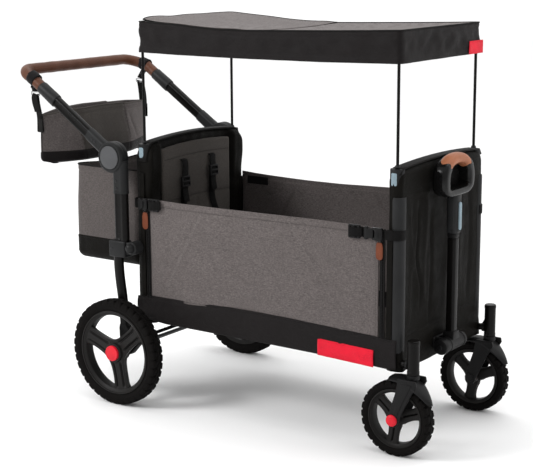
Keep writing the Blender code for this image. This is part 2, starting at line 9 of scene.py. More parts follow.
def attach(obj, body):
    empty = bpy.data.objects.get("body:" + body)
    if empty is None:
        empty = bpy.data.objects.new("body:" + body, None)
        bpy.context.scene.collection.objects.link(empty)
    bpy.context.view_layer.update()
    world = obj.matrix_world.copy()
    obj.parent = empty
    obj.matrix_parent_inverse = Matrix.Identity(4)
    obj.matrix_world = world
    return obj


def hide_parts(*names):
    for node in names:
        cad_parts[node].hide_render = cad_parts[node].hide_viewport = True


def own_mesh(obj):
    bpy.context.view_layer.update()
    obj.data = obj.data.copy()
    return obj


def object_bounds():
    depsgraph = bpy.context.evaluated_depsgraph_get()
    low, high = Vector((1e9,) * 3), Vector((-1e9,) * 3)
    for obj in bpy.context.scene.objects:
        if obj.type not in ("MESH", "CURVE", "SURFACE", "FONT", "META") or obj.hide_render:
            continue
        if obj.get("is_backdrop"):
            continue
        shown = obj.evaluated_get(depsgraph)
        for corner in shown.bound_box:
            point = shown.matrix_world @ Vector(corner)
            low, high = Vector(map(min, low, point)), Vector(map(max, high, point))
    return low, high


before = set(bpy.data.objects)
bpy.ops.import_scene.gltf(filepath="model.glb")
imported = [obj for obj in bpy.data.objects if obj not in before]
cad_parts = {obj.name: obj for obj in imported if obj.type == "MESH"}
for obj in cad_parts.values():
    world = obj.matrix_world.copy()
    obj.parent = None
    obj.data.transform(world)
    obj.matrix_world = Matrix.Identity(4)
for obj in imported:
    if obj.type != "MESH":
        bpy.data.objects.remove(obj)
CAD_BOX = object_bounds()
SCENE = bpy.context.scene
COL = SCENE.collection
PI = math.pi
SIDES = (("l", 1.0), ("r", -1.0))

# ---- the frame's own dimensions, in metres -----------------------------------------
REAR_X, FRONT_X, POST_Y = -0.2335, 0.5605, 0.2005
SIDE_Y = 0.2185
HUB_X, HUB_Y, HUB_Z, HUB_R = -0.305, 0.250, 0.686, 0.043
UPRIGHT_X = -0.2805
ARM = math.radians(34.3)
AX, AZ = -math.cos(ARM), math.sin(ARM)
GRIP_X, GRIP_Z, GRIP_R = -0.6575, 0.906, 0.0150
HANG_X, HANG_Z = -0.604, 0.841
PULL_X, PULL_Z = 0.6105, 0.250
CASTER_X, FW_X, FW_Y, FW_R = 0.618, 0.5752, 0.210, 0.0973
RW_X, RW_Y, RW_R = -0.2685, 0.297, 0.149


# ================================ mesh helpers =======================================
def recalc(o):
    bm = bmesh.new()
    bm.from_mesh(o.data)
    bmesh.ops.recalc_face_normals(bm, faces=bm.faces)
    bm.to_mesh(o.data)
    bm.free()
    return o


def make(name, verts, faces, mat=None, smooth=True, fix=True):
    me = bpy.data.meshes.new(name)
    me.from_pydata([tuple(float(c) for c in v) for v in verts], [], [tuple(int(i) for i in f) for f in faces])
    me.update()
    o = bpy.data.objects.new(name, me)
    COL.objects.link(o)
    if mat is not None:
        me.materials.append(mat)
    if fix:
        recalc(o)
    if smooth:
        me.shade_smooth()
    return o


def sharp(o, degrees=38):
    o.data.shade_smooth()
    o.data.set_sharp_from_angle(angle=math.radians(degrees))
    return o


def grid(name, P, mat, cu=False, cv=False, cap_u=False, cap_v=False, fix=True):
    """A surface through the points P[i, j]. cu and cv close it; cap_u closes the ends of a tube whose rings run along v."""
    P = np.asarray(P, float)
    nu, nv = P.shape[:2]
    f = []
    for i in range(nu if cu else nu - 1):
        for j in range(nv if cv else nv - 1):
            i2, j2 = (i + 1) % nu, (j + 1) % nv
            f.append((i * nv + j, i2 * nv + j, i2 * nv + j2, i * nv + j2))
    if cap_u:
        f.append(tuple(range(nv)))
        f.append(tuple((nu - 1) * nv + j for j in range(nv))[::-1])
    return make(name, P.reshape(-1, 3), f, mat, fix=fix)


def bake(o):
    """The object's modifiers applied to its mesh."""
    bpy.context.view_layer.update()
    dg = bpy.context.evaluated_depsgraph_get()
    me = bpy.data.meshes.new_from_object(o.evaluated_get(dg), preserve_all_data_layers=True, depsgraph=dg)
    o.modifiers.clear()
    o.data = me
    return o


def mod(o, kind, **k):
    m = o.modifiers.new(kind.lower(), kind)
    for a, b in k.items():
        setattr(m, a, b)
    return m


def bevel(o, width, segments=2, angle=35):
    mod(o, "BEVEL", width=width, segments=segments, limit_method="ANGLE", angle_limit=math.radians(angle))
    bake(o)
    return sharp(o, 40)


def subsurf(o, levels=1):
    mod(o, "SUBSURF", levels=levels, render_levels=levels)
    return bake(o)


def thicken(o, t, offset=-1.0):
    mod(o, "SOLIDIFY", thickness=t, offset=offset, use_even_offset=False)
    return bake(o)


def join(name, objs):
    """One piece from several, each with its own material kept."""
    objs = [o for o in objs if o is not None]
    mats, vs, fs, idx, sm = [], [], [], [], []
    base = 0
    sharp_edges = []
    for o in objs:
        me = o.data
        M = np.array(o.matrix_world)
        co = np.empty(len(me.vertices) * 3)
        me.vertices.foreach_get("co", co)
        co = co.reshape(-1, 3) @ M[:3, :3].T + M[:3, 3]
        vs.append(co)
        table = []
        for m in me.materials:
            if m not in mats:
                mats.append(m)
            table.append(mats.index(m))
        for p in me.polygons:
            fs.append([base + v for v in p.vertices])
            idx.append(table[p.material_index] if table else 0)
            sm.append(p.use_smooth)
        if "sharp_edge" in me.attributes:
            flags = np.zeros(len(me.edges), bool)
            me.attributes["sharp_edge"].data.foreach_get("value", flags)
            for e, s in zip(me.edges, flags):
                if s:
                    sharp_edges.append((base + e.vertices[0], base + e.vertices[1]))
        base += len(me.vertices)
    me = bpy.data.meshes.new(name)
    me.from_pydata(np.concatenate(vs).tolist(), [], fs)
    for m in mats:
        me.materials.append(m)
    me.polygons.foreach_set("material_index", idx)
    me.polygons.foreach_set("use_smooth", sm)
    me.update()
    if sharp_edges:
        at = me.attributes.get("sharp_edge") or me.attributes.new("sharp_edge", "BOOLEAN", "EDGE")
        want = set(tuple(sorted(e)) for e in sharp_edges)
        at.data.foreach_set("value", [tuple(sorted(e.vertices)) in want for e in me.edges])
    o = bpy.data.objects.new(name, me)
    COL.objects.link(o)
    for old in objs:
        bpy.data.objects.remove(old, do_unlink=True)
    return o


def spline(ctrl, n, closed=False):
    """n points evenly spread on a smooth curve through ctrl."""
    C = np.asarray(ctrl, float)
    if closed:
        C = np.vstack([C[-1], C, C[0], C[1]])
    else:
        C = np.vstack([2 * C[0] - C[1], C, 2 * C[-1] - C[-2]])
    out = []
    for i in range(1, len(C) - 2):
        t = np.linspace(0, 1, 24, endpoint=False)[:, None]
        a, b, c, d = C[i - 1], C[i], C[i + 1], C[i + 2]
        out.append(0.5 * (2 * b + (c - a) * t + (2 * a - 5 * b + 4 * c - d) * t ** 2 + (3 * b - a - 3 * c + d) * t ** 3))
    out = np.vstack(out + [C[-2][None]])
    s = np.concatenate([[0], np.cumsum(np.linalg.norm(np.diff(out, axis=0), axis=1))])
    at = np.linspace(0, s[-1], n + 1)[:-1] if closed else np.linspace(0, s[-1], n)
    return np.stack([np.interp(at, s, out[:, k]) for k in range(out.shape[1])], 1)


def tangents(P, closed=False):
    if closed:
        T = np.roll(P, -1, 0) - np.roll(P, 1, 0)
    else:
        T = np.gradient(P, axis=0)
    return T / np.maximum(np.linalg.norm(T, axis=1, keepdims=True), 1e-12)


def sweep(name, P, prof, mat, side, closed=False, scale=None, caps=True, open_profile=False):
    """A 2-D profile (along side, along normal) carried along P. side is one vector or one per point."""
    P = np.asarray(P, float)
    prof = np.asarray(prof, float)
    T = tangents(P, closed)
    S = np.broadcast_to(np.asarray(side, float), P.shape).copy()
    S -= (S * T).sum(1, keepdims=True) * T
    S /= np.maximum(np.linalg.norm(S, axis=1, keepdims=True), 1e-12)
    Nn = np.cross(T, S)
    sc = np.ones((len(P), 2)) if scale is None else np.asarray(scale, float).reshape(len(P), -1) * np.ones((1, 2))
    G = P[:, None] + S[:, None] * (prof[None, :, :1] * sc[:, None, :1]) + Nn[:, None] * (prof[None, :, 1:] * sc[:, None, 1:])
    return grid(name, G, mat, cu=closed, cv=not open_profile, cap_u=caps and not closed and not open_profile)


def circle(r, n=24, ry=None):
    a = np.arange(n) * 2 * PI / n
    return np.stack([r * np.cos(a), (r if ry is None else ry) * np.sin(a)], 1)


def stadium(w, h, n=8, power=None):
    """A flat oval: w along the profile's first axis, h along its second."""
    r = min(w, h) / 2
    dx, dy = w / 2 - r, h / 2 - r
    p = []
    for k, (sx, sy) in enumerate(((1, 1), (-1, 1), (-1, -1), (1, -1))):
        for i in range(n + 1):
            a = PI / 2 * (k + i / n)
            q = (sx * dx + r * math.cos(a), sy * dy + r * math.sin(a))
            if not p or math.dist(p[-1], q) > 1e-6:
                p.append(q)
    if math.dist(p[0], p[-1]) < 1e-6:
        p.pop()
    return np.array(p)


def rrect(w, h, r, n=5):
    p = []
    for k, (sx, sy) in enumerate(((1, 1), (-1, 1), (-1, -1), (1, -1))):
        for i in range(n + 1):
            a = PI / 2 * (k + i / n)
            p.append((sx * (w / 2 - r) + r * math.cos(a), sy * (h / 2 - r) + r * math.sin(a)))
    return np.array(p)


def tube(name, P, r, mat, n=24, closed=False, side=(0.013, 1.0, 0.017)):
    r = np.broadcast_to(np.asarray(r, float), (len(P),))
    return sweep(name, P, circle(1.0, n), mat, side, closed, scale=r)


def turned(name, prof, at, axis, mat, steps=64, sign=1.0, angle=38):
    """A closed or open profile of (radius, height) spun about an axis through at. Heights run along +axis times sign."""
    prof = np.asarray(prof, float)
    a = np.arange(steps) * 2 * PI / steps
    R, H = prof[:, 0], prof[:, 1] * sign
    x = R[:, None] * np.cos(a)
    y = R[:, None] * np.sin(a)
    z = H[:, None] + 0 * x
    G = {"X": np.stack([z, x, y], 2), "Y": np.stack([y, z, x], 2), "Z": np.stack([x, y, z], 2)}[axis] + np.array(at)
    nv = steps
    f = []
    for i in range(len(prof) - 1):
        for j in range(nv):
            f.append((i * nv + j, (i + 1) * nv + j, (i + 1) * nv + (j + 1) % nv, i * nv + (j + 1) % nv))
    o = make(name, G.reshape(-1, 3), f, mat, fix=False)
    bm = bmesh.new()
    bm.from_mesh(o.data)
    bmesh.ops.remove_doubles(bm, verts=bm.verts, dist=1e-6)
    bmesh.ops.recalc_face_normals(bm, faces=bm.faces)
    bm.to_mesh(o.data)
    bm.free()
    return sharp(o, angle)


def disc(name, r, h0, h1, at, axis, mat, steps=48, edge=0.001, sign=1.0, dome=0.0):
    """A closed round disc or pin with a rounded rim and, if asked, a domed outer face."""
    p = [(0.0, h0), (r - edge, h0), (r, h0 + edge), (r, h1 - edge)]
    for k in range(1, 4):
        a = PI / 2 * k / 3
        p.append((r - edge * (1 - math.cos(a)), h1 - edge * (1 - math.sin(a))))
    for k in range(1, 7):
        q = 1 - k / 6
        p.append(((r - edge) * q, h1 + dome * (1 - q * q)))
    return turned(name, p, at, axis, mat, steps, sign)


def slab(name, outline, lo, hi, plane, mat, edge=0.0015, segments=2):
    """An outline given a thickness from lo to hi along the third axis, with rounded edges. plane XZ, YZ or XY names the outline's axes."""
    order = {"XZ": (0, 2, 1), "YZ": (1, 2, 0), "XY": (0, 1, 2)}[plane]
    n = len(outline)
    V = []
    for h in (lo, hi):
        for a, b in outline:
            v = [0.0, 0.0, 0.0]
            v[order[0]], v[order[1]], v[order[2]] = a, b, h
            V.append(v)
    f = [tuple(range(n)), tuple(range(2 * n - 1, n - 1, -1))]
    f += [(i, (i + 1) % n, n + (i + 1) % n, n + i) for i in range(n)]
    o = make(name, V, f, mat)
    return bevel(o, edge, segments, 30) if edge else sharp(o)


def rbox(name, lo, hi, r, mat, segments=3, taper=None):
    """A box with rounded edges. taper scales (x, y) of the lower end."""
    lo, hi = np.array(lo, float), np.array(hi, float)
    V = [(x, y, z) for x in (lo[0], hi[0]) for y in (lo[1], hi[1]) for z in (lo[2], hi[2])]
    if taper:
        c = (lo + hi) / 2
        V = [((c[0] + (x - c[0]) * taper[0], c[1] + (y - c[1]) * taper[1], z) if z == lo[2] else (x, y, z)) for x, y, z in V]
    f = [(0, 1, 3, 2), (4, 6, 7, 5), (0, 4, 5, 1), (2, 3, 7, 6), (0, 2, 6, 4), (1, 5, 7, 3)]
    o = make(name, V, f, mat)
    mod(o, "BEVEL", width=r, segments=segments, limit_method="NONE")
    bake(o)
    return sharp(o, 50)


def strap(name, P, width, thick, mat, side, n=None):
    """A flat webbing strap with a rolled edge along P; side is the direction of its width."""
    prof = rrect(width, thick, thick * 0.48, 3)
    ribbed = []
    for a, b in prof:
        ribbed.append((a, b))
    return sweep(name, P, ribbed, mat, side)


def mirror_y(pts, s):
    return [(x, y * s, z) for x, y, z in pts]


def co_of(o):
    a = np.empty(len(o.data.vertices) * 3)
    o.data.vertices.foreach_get("co", a)
    return a.reshape(-1, 3)


def set_co(o, P):
    o.data.vertices.foreach_set("co", np.ascontiguousarray(P, np.float32).reshape(-1))
    o.data.update()
    return o


def normals_of(o):
    a = np.empty(len(o.data.vertices) * 3)
    o.data.vertices.foreach_get("normal", a)
    return a.reshape(-1, 3)


def waves(P, size, seed, n=14, stretch=(1, 1, 1)):
    """Smooth seeded noise of about unit height, for wrinkles."""
    r = np.random.RandomState(seed)
    d = r.normal(size=(n, 3))
    d /= np.linalg.norm(d, axis=1, keepdims=True)
    k = 2 * PI / size * (0.55 + 0.9 * r.rand(n))
    return np.sin(((P / np.array(stretch)) @ d.T) * k + r.rand(n) * 2 * PI).sum(-1) / math.sqrt(n)


def bump(x, at, width):
    return np.exp(-(((x - at) / width) ** 2))


def step(x, a, b):
    t = np.clip((x - a) / (b - a), 0, 1)
    return t * t * (3 - 2 * t)


def stitches(name, P, mat, normal, pitch=0.0042, length=0.0028, r=0.00045):
    """A row of sewn stitches along P, lying on a surface whose normal is given."""
    P = np.asarray(P, float)
    s = np.concatenate([[0], np.cumsum(np.linalg.norm(np.diff(P, axis=0), axis=1))])
    n = max(int(s[-1] / pitch), 1)
    c = (np.arange(n) + 0.5) * s[-1] / n
    at = lambda q: np.stack([np.interp(q, s, P[:, k]) for k in range(3)], 1)
    A, B = at(c - length / 2), at(c + length / 2)
    N0 = np.broadcast_to(np.asarray(normal, float), P.shape)
    N0 = np.stack([np.interp(c, s, N0[:, k]) for k in range(3)], 1)
    T = B - A
    T /= np.linalg.norm(T, axis=1, keepdims=True)
    N0 -= (N0 * T).sum(1, keepdims=True) * T
    N0 /= np.linalg.norm(N0, axis=1, keepdims=True)
    S = np.cross(T, N0)
    V, F = [], []
    for k in range(n):
        b = len(V)
        for end, q, rr, lift in ((A, 0, 0.35, -0.6), (A, 0.28, 1, 0.35), (B, -0.28, 1, 0.35), (B, 0, 0.35, -0.6)):
            p = end[k] + T[k] * q * length + N0[k] * r * lift
            for i in range(6):
                a = i * PI / 3
                V.append(p + r * rr * (S[k] * math.cos(a) * 1.25 + N0[k] * math.sin(a)))
        for i in range(3):
            for j in range(6):
                F.append((b + i * 6 + j, b + i * 6 + (j + 1) % 6, b + (i + 1) * 6 + (j + 1) % 6, b + (i + 1) * 6 + j))
        F.append(tuple(b + j for j in range(6)))
        F.append(tuple(b + 18 + j for j in range(6))[::-1])
    return make(name, V, F, mat)


def put(o, body, replaces=()):
    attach(o, body)
    if replaces:
        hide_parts(*([replaces] if isinstance(replaces, str) else replaces))
    return o


def folds(o):
    """Gives the fabric that spans the folding floor its own copy of its mesh."""
    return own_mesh(o)


def canopy_folds(o):
    """Gives a canopy piece its own copy of its mesh."""
    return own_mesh(o)


def puff(o, pressure=4.0, cap=0.008, voxel=0.005, frames=20, pin=None):
    """Blows a pad up a little with Blender's Cloth, then keeps the shape. pin marks points that stay."""
    mod(o, "REMESH", mode="VOXEL", voxel_size=voxel)
    bake(o)
    o.data.shade_smooth()
    start = co_of(o)
    if pin is not None:
        g = o.vertex_groups.new(name="pin")
        w = pin(start)
        for i in np.nonzero(w > 0.02)[0]:
            g.add([int(i)], float(w[i]), "REPLACE")
    c = mod(o, "CLOTH")
    st = c.settings
    st.quality = 4
    st.mass = 0.25
    st.tension_stiffness = st.compression_stiffness = 20
    st.shear_stiffness = 8
    st.bending_stiffness = 0.6
    st.use_pressure = True
    st.uniform_pressure_force = pressure
    st.effector_weights.gravity = 0.0
    if pin is not None:
        st.vertex_group_mass = "pin"
    c.collision_settings.use_collision = False
    c.point_cache.frame_start, c.point_cache.frame_end = 1, frames
    for f in range(1, frames + 1):
        SCENE.frame_set(f)
    bake(o)
    now = co_of(o)
    d = now - start
    far = np.linalg.norm(d, axis=1, keepdims=True)
    now = start + d * np.minimum(1.0, cap / np.maximum(far, 1e-9))
    set_co(o, now)
    SCENE.frame_set(1)
    o.vertex_groups.clear()
    return o


# ================================ materials ==========================================
class Look:
    """One procedural material: a Principled shader and the nodes that feed it."""

    def __init__(self, name, colour, rough, metal=0.0, **sockets):
        self.m = bpy.data.materials.new(name)
        self.m.use_nodes = True
        self.nt = self.m.node_tree
        self.b = self.nt.nodes["Principled BSDF"]
        self.b.inputs["Base Color"].default_value = (*colour, 1)
        self.b.inputs["Roughness"].default_value = rough
        self.b.inputs["Metallic"].default_value = metal
        for k, v in sockets.items():
            self.b.inputs[k.replace("_", " ")].default_value = v
        self.colour, self.rough = colour, rough
        self.tc = self.nt.nodes.new("ShaderNodeTexCoord")
        self.heights = []

    def node(self, kind, **props):
        n = self.nt.nodes.new(kind)
        for k, v in props.items():
            setattr(n, k, v)
        return n

    def link(self, a, b):
        self.nt.links.new(a, b)
        return b

    def coords(self, scale=(1, 1, 1), turn=(0, 0, 0)):
        m = self.node("ShaderNodeMapping")
        m.inputs["Scale"].default_value = scale
        m.inputs["Rotation"].default_value = turn
        self.link(self.tc.outputs["Object"], m.inputs["Vector"])
        return m.outputs["Vector"]

    def noise(self, scale, stretch=(1, 1, 1), detail=3.0, rough=0.55):
        n = self.node("ShaderNodeTexNoise")
        n.inputs["Scale"].default_value = scale
        n.inputs["Detail"].default_value = detail
        n.inputs["Roughness"].default_value = rough
        self.link(self.coords(stretch), n.inputs["Vector"])
        return n.outputs["Fac"]

    def math(self, op, a, b=None, c=None):
        n = self.node("ShaderNodeMath", operation=op)
        for i, v in enumerate((a, b, c)):
            if v is None:
                continue
            if isinstance(v, (int, float)):
                n.inputs[i].default_value = v
            else:
                self.link(v, n.inputs[i])
        return n.outputs[0]

    def remap(self, v, a, b, c, d):
        n = self.node("ShaderNodeMapRange")
        for i, x in enumerate((a, b, c, d)):
            n.inputs[i + 1].default_value = x
        self.link(v, n.inputs[0])
        return n.outputs[0]

    def ramp(self, v, stops):
        n = self.node("ShaderNodeValToRGB")
        e = n.color_ramp.elements
        while len(e) < len(stops):
            e.new(0.5)
        for x, (p, c) in zip(e, stops):
            x.position, x.color = p, (*c, 1)
        self.link(v, n.inputs[0])
        return n.outputs[0]

    def mix(self, f, a, b, kind="MIX"):
        n = self.node("ShaderNodeMix", data_type="RGBA", blend_type=kind)
        if isinstance(f, (int, float)):
            n.inputs[0].default_value = f
        else:
            self.link(f, n.inputs[0])
        for i, v in ((6, a), (7, b)):
            if isinstance(v, tuple):
                n.inputs[i].default_value = (*v, 1)
            else:
                self.link(v, n.inputs[i])
        return n.outputs[2]

    def base(self, v):
        self.link(v, self.b.inputs["Base Color"])

    def roughness(self, v):
        self.link(v, self.b.inputs["Roughness"])

    def height(self, v, distance, strength=1.0):
        n = self.node("ShaderNodeBump")
        n.inputs["Distance"].default_value = distance
        n.inputs["Strength"].default_value = strength
        self.link(v, n.inputs["Height"])
        if self.heights:
            self.link(self.heights[-1], n.inputs["Normal"])
        self.heights.append(n.outputs["Normal"])
        self.link(n.outputs["Normal"], self.b.inputs["Normal"])

    def weave(self, pitch):
        """A plain weave: threads along each axis, whatever way the cloth faces."""
        s = self.node("ShaderNodeSeparateXYZ")
        self.link(self.tc.outputs["Object"], s.inputs[0])
        k = 2 * PI / pitch
        w = [self.math("SINE", self.math("MULTIPLY", s.outputs[i], k)) for i in range(3)]
        xy = self.math("ADD", w[0], w[1])
        checker = self.math("MULTIPLY", xy, w[2])
        return self.math("ADD", self.math("MULTIPLY", checker, 0.5), self.math("MULTIPLY", self.math("ADD", xy, w[2]), 0.25))


def tint(c, k):
    return tuple(min(x * k, 1.0) for x in c)


def heather(name, c, contrast=1.0, pitch=0.0016, sheen=0.10):
    """Melange polyester: fine streaky yarns of a darker and a lighter shade in a plain weave."""
    L = Look(name, c, 0.92, Sheen_Weight=sheen, Sheen_Roughness=0.55, Specular_IOR_Level=0.12)
    weft = L.noise(150, (1, 1, 5.5), 4.0, 0.7)
    warp = L.noise(150, (5.0, 5.0, 0.9), 3.0, 0.65)
    cloud = L.noise(9, (1, 1, 1), 2.0)
    yarn = L.math("ADD", L.math("MULTIPLY", weft, 0.68), L.math("MULTIPLY", warp, 0.32))
    k = 0.34 * contrast
    col = L.ramp(yarn, [(0.36, tint(c, 1 - k * 1.25)), (0.47, tint(c, 1 - 0.3 * k)), (0.55, tint(c, 1 + 0.5 * k)), (0.66, tint(c, 1 + 1.7 * k))])
    L.base(L.mix(L.remap(cloud, 0.3, 0.7, 0.0, 0.30), col, tint(c, 0.80), "MIX"))
    L.height(L.weave(pitch), 0.00035, 0.55)
    L.height(yarn, 0.0005, 0.35)
    L.height(L.noise(28, (1, 1, 1), 3.0), 0.002, 0.30)
    L.roughness(L.remap(yarn, 0.3, 0.7, 0.86, 0.98))
    return L.m


def plain_cloth(name, c, rough=0.62, pitch=0.0010, sheen=0.03, crease=0.5, spec=0.07):
    """Tight plain polyester, as on the valance and the lower bands."""
    L = Look(name, c, rough, Sheen_Weight=sheen, Sheen_Roughness=0.5, Specular_IOR_Level=spec)
    n = L.noise(700, (1, 1, 1), 2.0)
    cloud = L.noise(14, (1, 1, 1.6), 4.0)
    L.base(L.mix(L.remap(cloud, 0.35, 0.68, 0.0, 0.55), L.ramp(n, [(0.35, tint(c, 0.82)), (0.65, tint(c, 1.22))]), tint(c, 1.5)))
    L.height(L.weave(pitch), 0.00025, 0.5)
    L.height(cloud, 0.0045, crease)
    L.roughness(L.remap(cloud, 0.3, 0.7, rough - 0.08, rough + 0.10))
    return L.m


def webbing(name, c):
    """Ribbed nylon webbing."""
    L = Look(name, c, 0.62, Sheen_Weight=0.02, Specular_IOR_Level=0.06)
    w = L.weave(0.0022)
    L.base(L.ramp(L.remap(w, -1, 1, 0, 1), [(0.2, tint(c, 0.6)), (0.8, tint(c, 1.35))]))
    L.height(w, 0.0006, 0.7)
    L.height(L.noise(60), 0.001, 0.3)
    return L.m


def leatherette(name, c, rough=0.42):
    """Smooth stitched leatherette with a fine pebble grain and creases."""
    L = Look(name, c, rough, Coat_Weight=0.03, Coat_Roughness=0.35, Specular_IOR_Level=0.20)
    v = L.node("ShaderNodeTexVoronoi", feature="DISTANCE_TO_EDGE")
    v.inputs["Scale"].default_value = 620
    L.link(L.coords(), v.inputs["Vector"])
    cell = L.remap(v.outputs["Distance"], 0.0, 0.12, 0.0, 1.0)
    cloud = L.noise(22, (1, 1, 1), 4.0)
    streak = L.noise(60, (1, 0.25, 1), 3.0)
    both = L.math("ADD", L.math("MULTIPLY", cloud, 0.6), L.math("MULTIPLY", streak, 0.4))
    L.base(L.mix(L.remap(both, 0.35, 0.68, 0.0, 0.75), tint(c, 1.12), tint(c, 0.72)))
    L.height(cell, 0.00022, 0.45)
    L.height(L.noise(45, (1, 0.5, 1), 4.0), 0.0016, 0.25)
    L.roughness(L.remap(both, 0.3, 0.7, rough - 0.06, rough + 0.14))
    return L.m


def moulded(name, c, rough=0.5, grain=1.0, coat=0.0, spec=0.13):
    """Injection-moulded plastic with a spark-eroded grain and slight handling wear."""
    L = Look(name, c, rough, Coat_Weight=coat, Coat_Roughness=0.15, Specular_IOR_Level=spec)
    fine = L.noise(1500, (1, 1, 1), 2.0)
    cloud = L.noise(18, (1, 1, 1), 3.0)
    g = L.node("ShaderNodeNewGeometry")
    edge = L.remap(g.outputs["Pointiness"], 0.53, 0.60, 0.0, 0.55)
    L.base(L.mix(edge, L.ramp(cloud, [(0.3, tint(c, 0.88)), (0.7, tint(c, 1.14))]), tint(c, 1.7)))
    L.roughness(L.remap(cloud, 0.3, 0.7, rough - 0.06, rough + 0.08))
    L.height(fine, 0.00018 * grain, 0.6)
    return L.m


def painted(name, c, rough=0.38, metal=0.25):
    """Powder-coated tube: a faint orange peel over a satin coat."""
    L = Look(name, c, rough, metal, Coat_Weight=0.0, Coat_Roughness=0.3, Specular_IOR_Level=0.11)
    peel = L.noise(420, (1, 1, 1), 2.0)
    cloud = L.noise(12, (1, 1, 1), 2.0)
    L.base(L.ramp(cloud, [(0.3, tint(c, 0.85)), (0.7, tint(c, 1.18))]))
    L.roughness(L.remap(cloud, 0.3, 0.7, rough - 0.05, rough + 0.07))
    L.height(peel, 0.00022, 0.5)
    return L.m


def rubber(name, c):
    L = Look(name, c, 0.80, Specular_IOR_Level=0.06)
    cloud = L.noise(26, (1, 1, 1), 4.0)
    fine = L.noise(900, (1, 1, 1), 2.0)
    L.base(L.mix(L.remap(cloud, 0.4, 0.75, 0.0, 0.5), tint(c, 0.95), tint(c, 1.7)))
    L.roughness(L.remap(cloud, 0.3, 0.7, 0.70, 0.88))
    L.height(fine, 0.0003, 0.6)
    return L.m


def bare_metal(name, c, rough=0.3):
    L = Look(name, c, rough, 1.0)
    brush = L.noise(300, (1, 0.05, 1), 3.0)
    L.base(L.ramp(brush, [(0.3, tint(c, 0.8)), (0.7, tint(c, 1.2))]))
    L.roughness(L.remap(brush, 0.3, 0.7, rough - 0.08, rough + 0.12))
    L.height(brush, 0.0001, 0.4)
    return L.m


M = {
    "black_paint": painted("black_paint", (0.0034, 0.0030, 0.0028), 0.30, 0.0),
    "grey_paint": painted("grey_paint", (0.0150, 0.0152, 0.0156), 0.42, 0.0),
    # front post sleeves: black cloth given a grey colour as painted sheen, where the cloth catches the light round the
    # post
    "sleeve_painted_sheen": painted("sleeve_painted_sheen", (0.0170, 0.0172, 0.0178), 0.40, 0.0),
    "black_plastic": moulded("black_plastic", (0.0075, 0.0073, 0.0075), 0.45),
    "gloss_plastic": moulded("gloss_plastic", (0.0060, 0.0058, 0.0058), 0.20, 0.3, 0.15),
    "grey_plastic": moulded("grey_plastic", (0.0185, 0.0190, 0.0195), 0.44),
    "disc_grey": moulded("disc_grey", (0.066, 0.067, 0.070), 0.42, 0.5),
    "button_blue": moulded("button_blue", (0.22, 0.29, 0.33), 0.42, 0.5),
    "red_plastic": moulded("red_plastic", (0.62, 0.012, 0.026), 0.35, 0.4, 0.15),
    "rim": moulded("rim_plastic", (0.0100, 0.0092, 0.0088), 0.46),
    "rubber": rubber("tyre_rubber", (0.0046, 0.0040, 0.0038)),
    "steel": bare_metal("steel", (0.42, 0.42, 0.43)),
    "dark_steel": bare_metal("dark_steel", (0.05, 0.05, 0.052), 0.35),
    "heather": heather("heather_cloth", (0.108, 0.093, 0.090), 1.35),
    "heather_bag": heather("heather_bag", (0.078, 0.067, 0.064), 1.3),
    "heather_top": heather("heather_top", (0.112, 0.097, 0.094), 1.2),
    # darker heather for the pads; on the organiser's middle front panel it also serves as painted shade
    "heather_dark": heather("heather_dark", (0.062, 0.054, 0.048), 0.8, sheen=0.12),
    "black_cloth": plain_cloth("black_cloth", (0.0086, 0.0072, 0.0073), 0.50, crease=1.2, spec=0.075, sheen=0.01),
    "panel_cloth": plain_cloth("panel_cloth", (0.0048, 0.0043, 0.0036), 0.46, crease=1.0, spec=0.04, sheen=0.0),
    "binding": plain_cloth("binding_tape", (0.0050, 0.0045, 0.0043), 0.75, 0.0018, crease=0.2, spec=0.1),
    "webbing": webbing("black_webbing", (0.0052, 0.0048, 0.0048)),
    "hook_loop": plain_cloth("hook_and_loop", (0.0080, 0.0072, 0.0074), 0.95, 0.0022, 0.06, 0.2, 0.08),
    "red_tag": plain_cloth("red_label", (0.60, 0.010, 0.028), 0.6, 0.0009, 0.1, 0.15),
    "leather": leatherette("brown_leather", (0.082, 0.026, 0.010)),
    "leather_light": leatherette("tan_saddle", (0.330, 0.118, 0.055), 0.38),
    "leather_tab": leatherette("tan_leather", (0.138, 0.034, 0.0125), 0.5),
    "thread_black": plain_cloth("thread_black", (0.012, 0.011, 0.011), 0.7, 0.0006, 0.1, 0.1),
    "thread_brown": plain_cloth("thread_brown", (0.12, 0.040, 0.018), 0.7, 0.0006, 0.1, 0.1),
    "thread_white": plain_cloth("thread_white", (0.75, 0.73, 0.70), 0.7, 0.0006, 0.1, 0.1),
    "thread_grey": plain_cloth("thread_grey", (0.055, 0.048, 0.046), 0.7, 0.0006, 0.1, 0.1),
    "board": plain_cloth("board_cover", (0.020, 0.018, 0.018), 0.8, 0.0014, 0.1, 0.3),
}

# ================================ camera, floor, light ===============================
a, e, roll = math.radians(35.2241), math.radians(11.9196), math.radians(-0.346)
back = Vector((math.sin(a) * math.cos(e), -math.cos(a) * math.cos(e), math.sin(e)))
right = Vector((math.cos(a), math.sin(a), 0))
up = back.cross(right)
r2 = math.cos(roll) * right + math.sin(roll) * up
u2 = -math.sin(roll) * right + math.cos(roll) * up
cam_data = bpy.data.cameras.new("camera")
cam_data.sensor_width = 36.0
cam_data.lens = 1381.86 / 533 * 36.0
cam = bpy.data.objects.new("camera", cam_data)
COL.objects.link(cam)
cam.matrix_world = Matrix.Translation((2.2019, -3.0753, 1.2511)) @ Matrix((r2, u2, back)).transposed().to_4x4()
SCENE.camera = cam
SCENE.view_settings.view_transform = "Standard"
SCENE.view_settings.look = "None"

world = bpy.data.worlds.new("studio")
SCENE.world = world
world.use_nodes = True
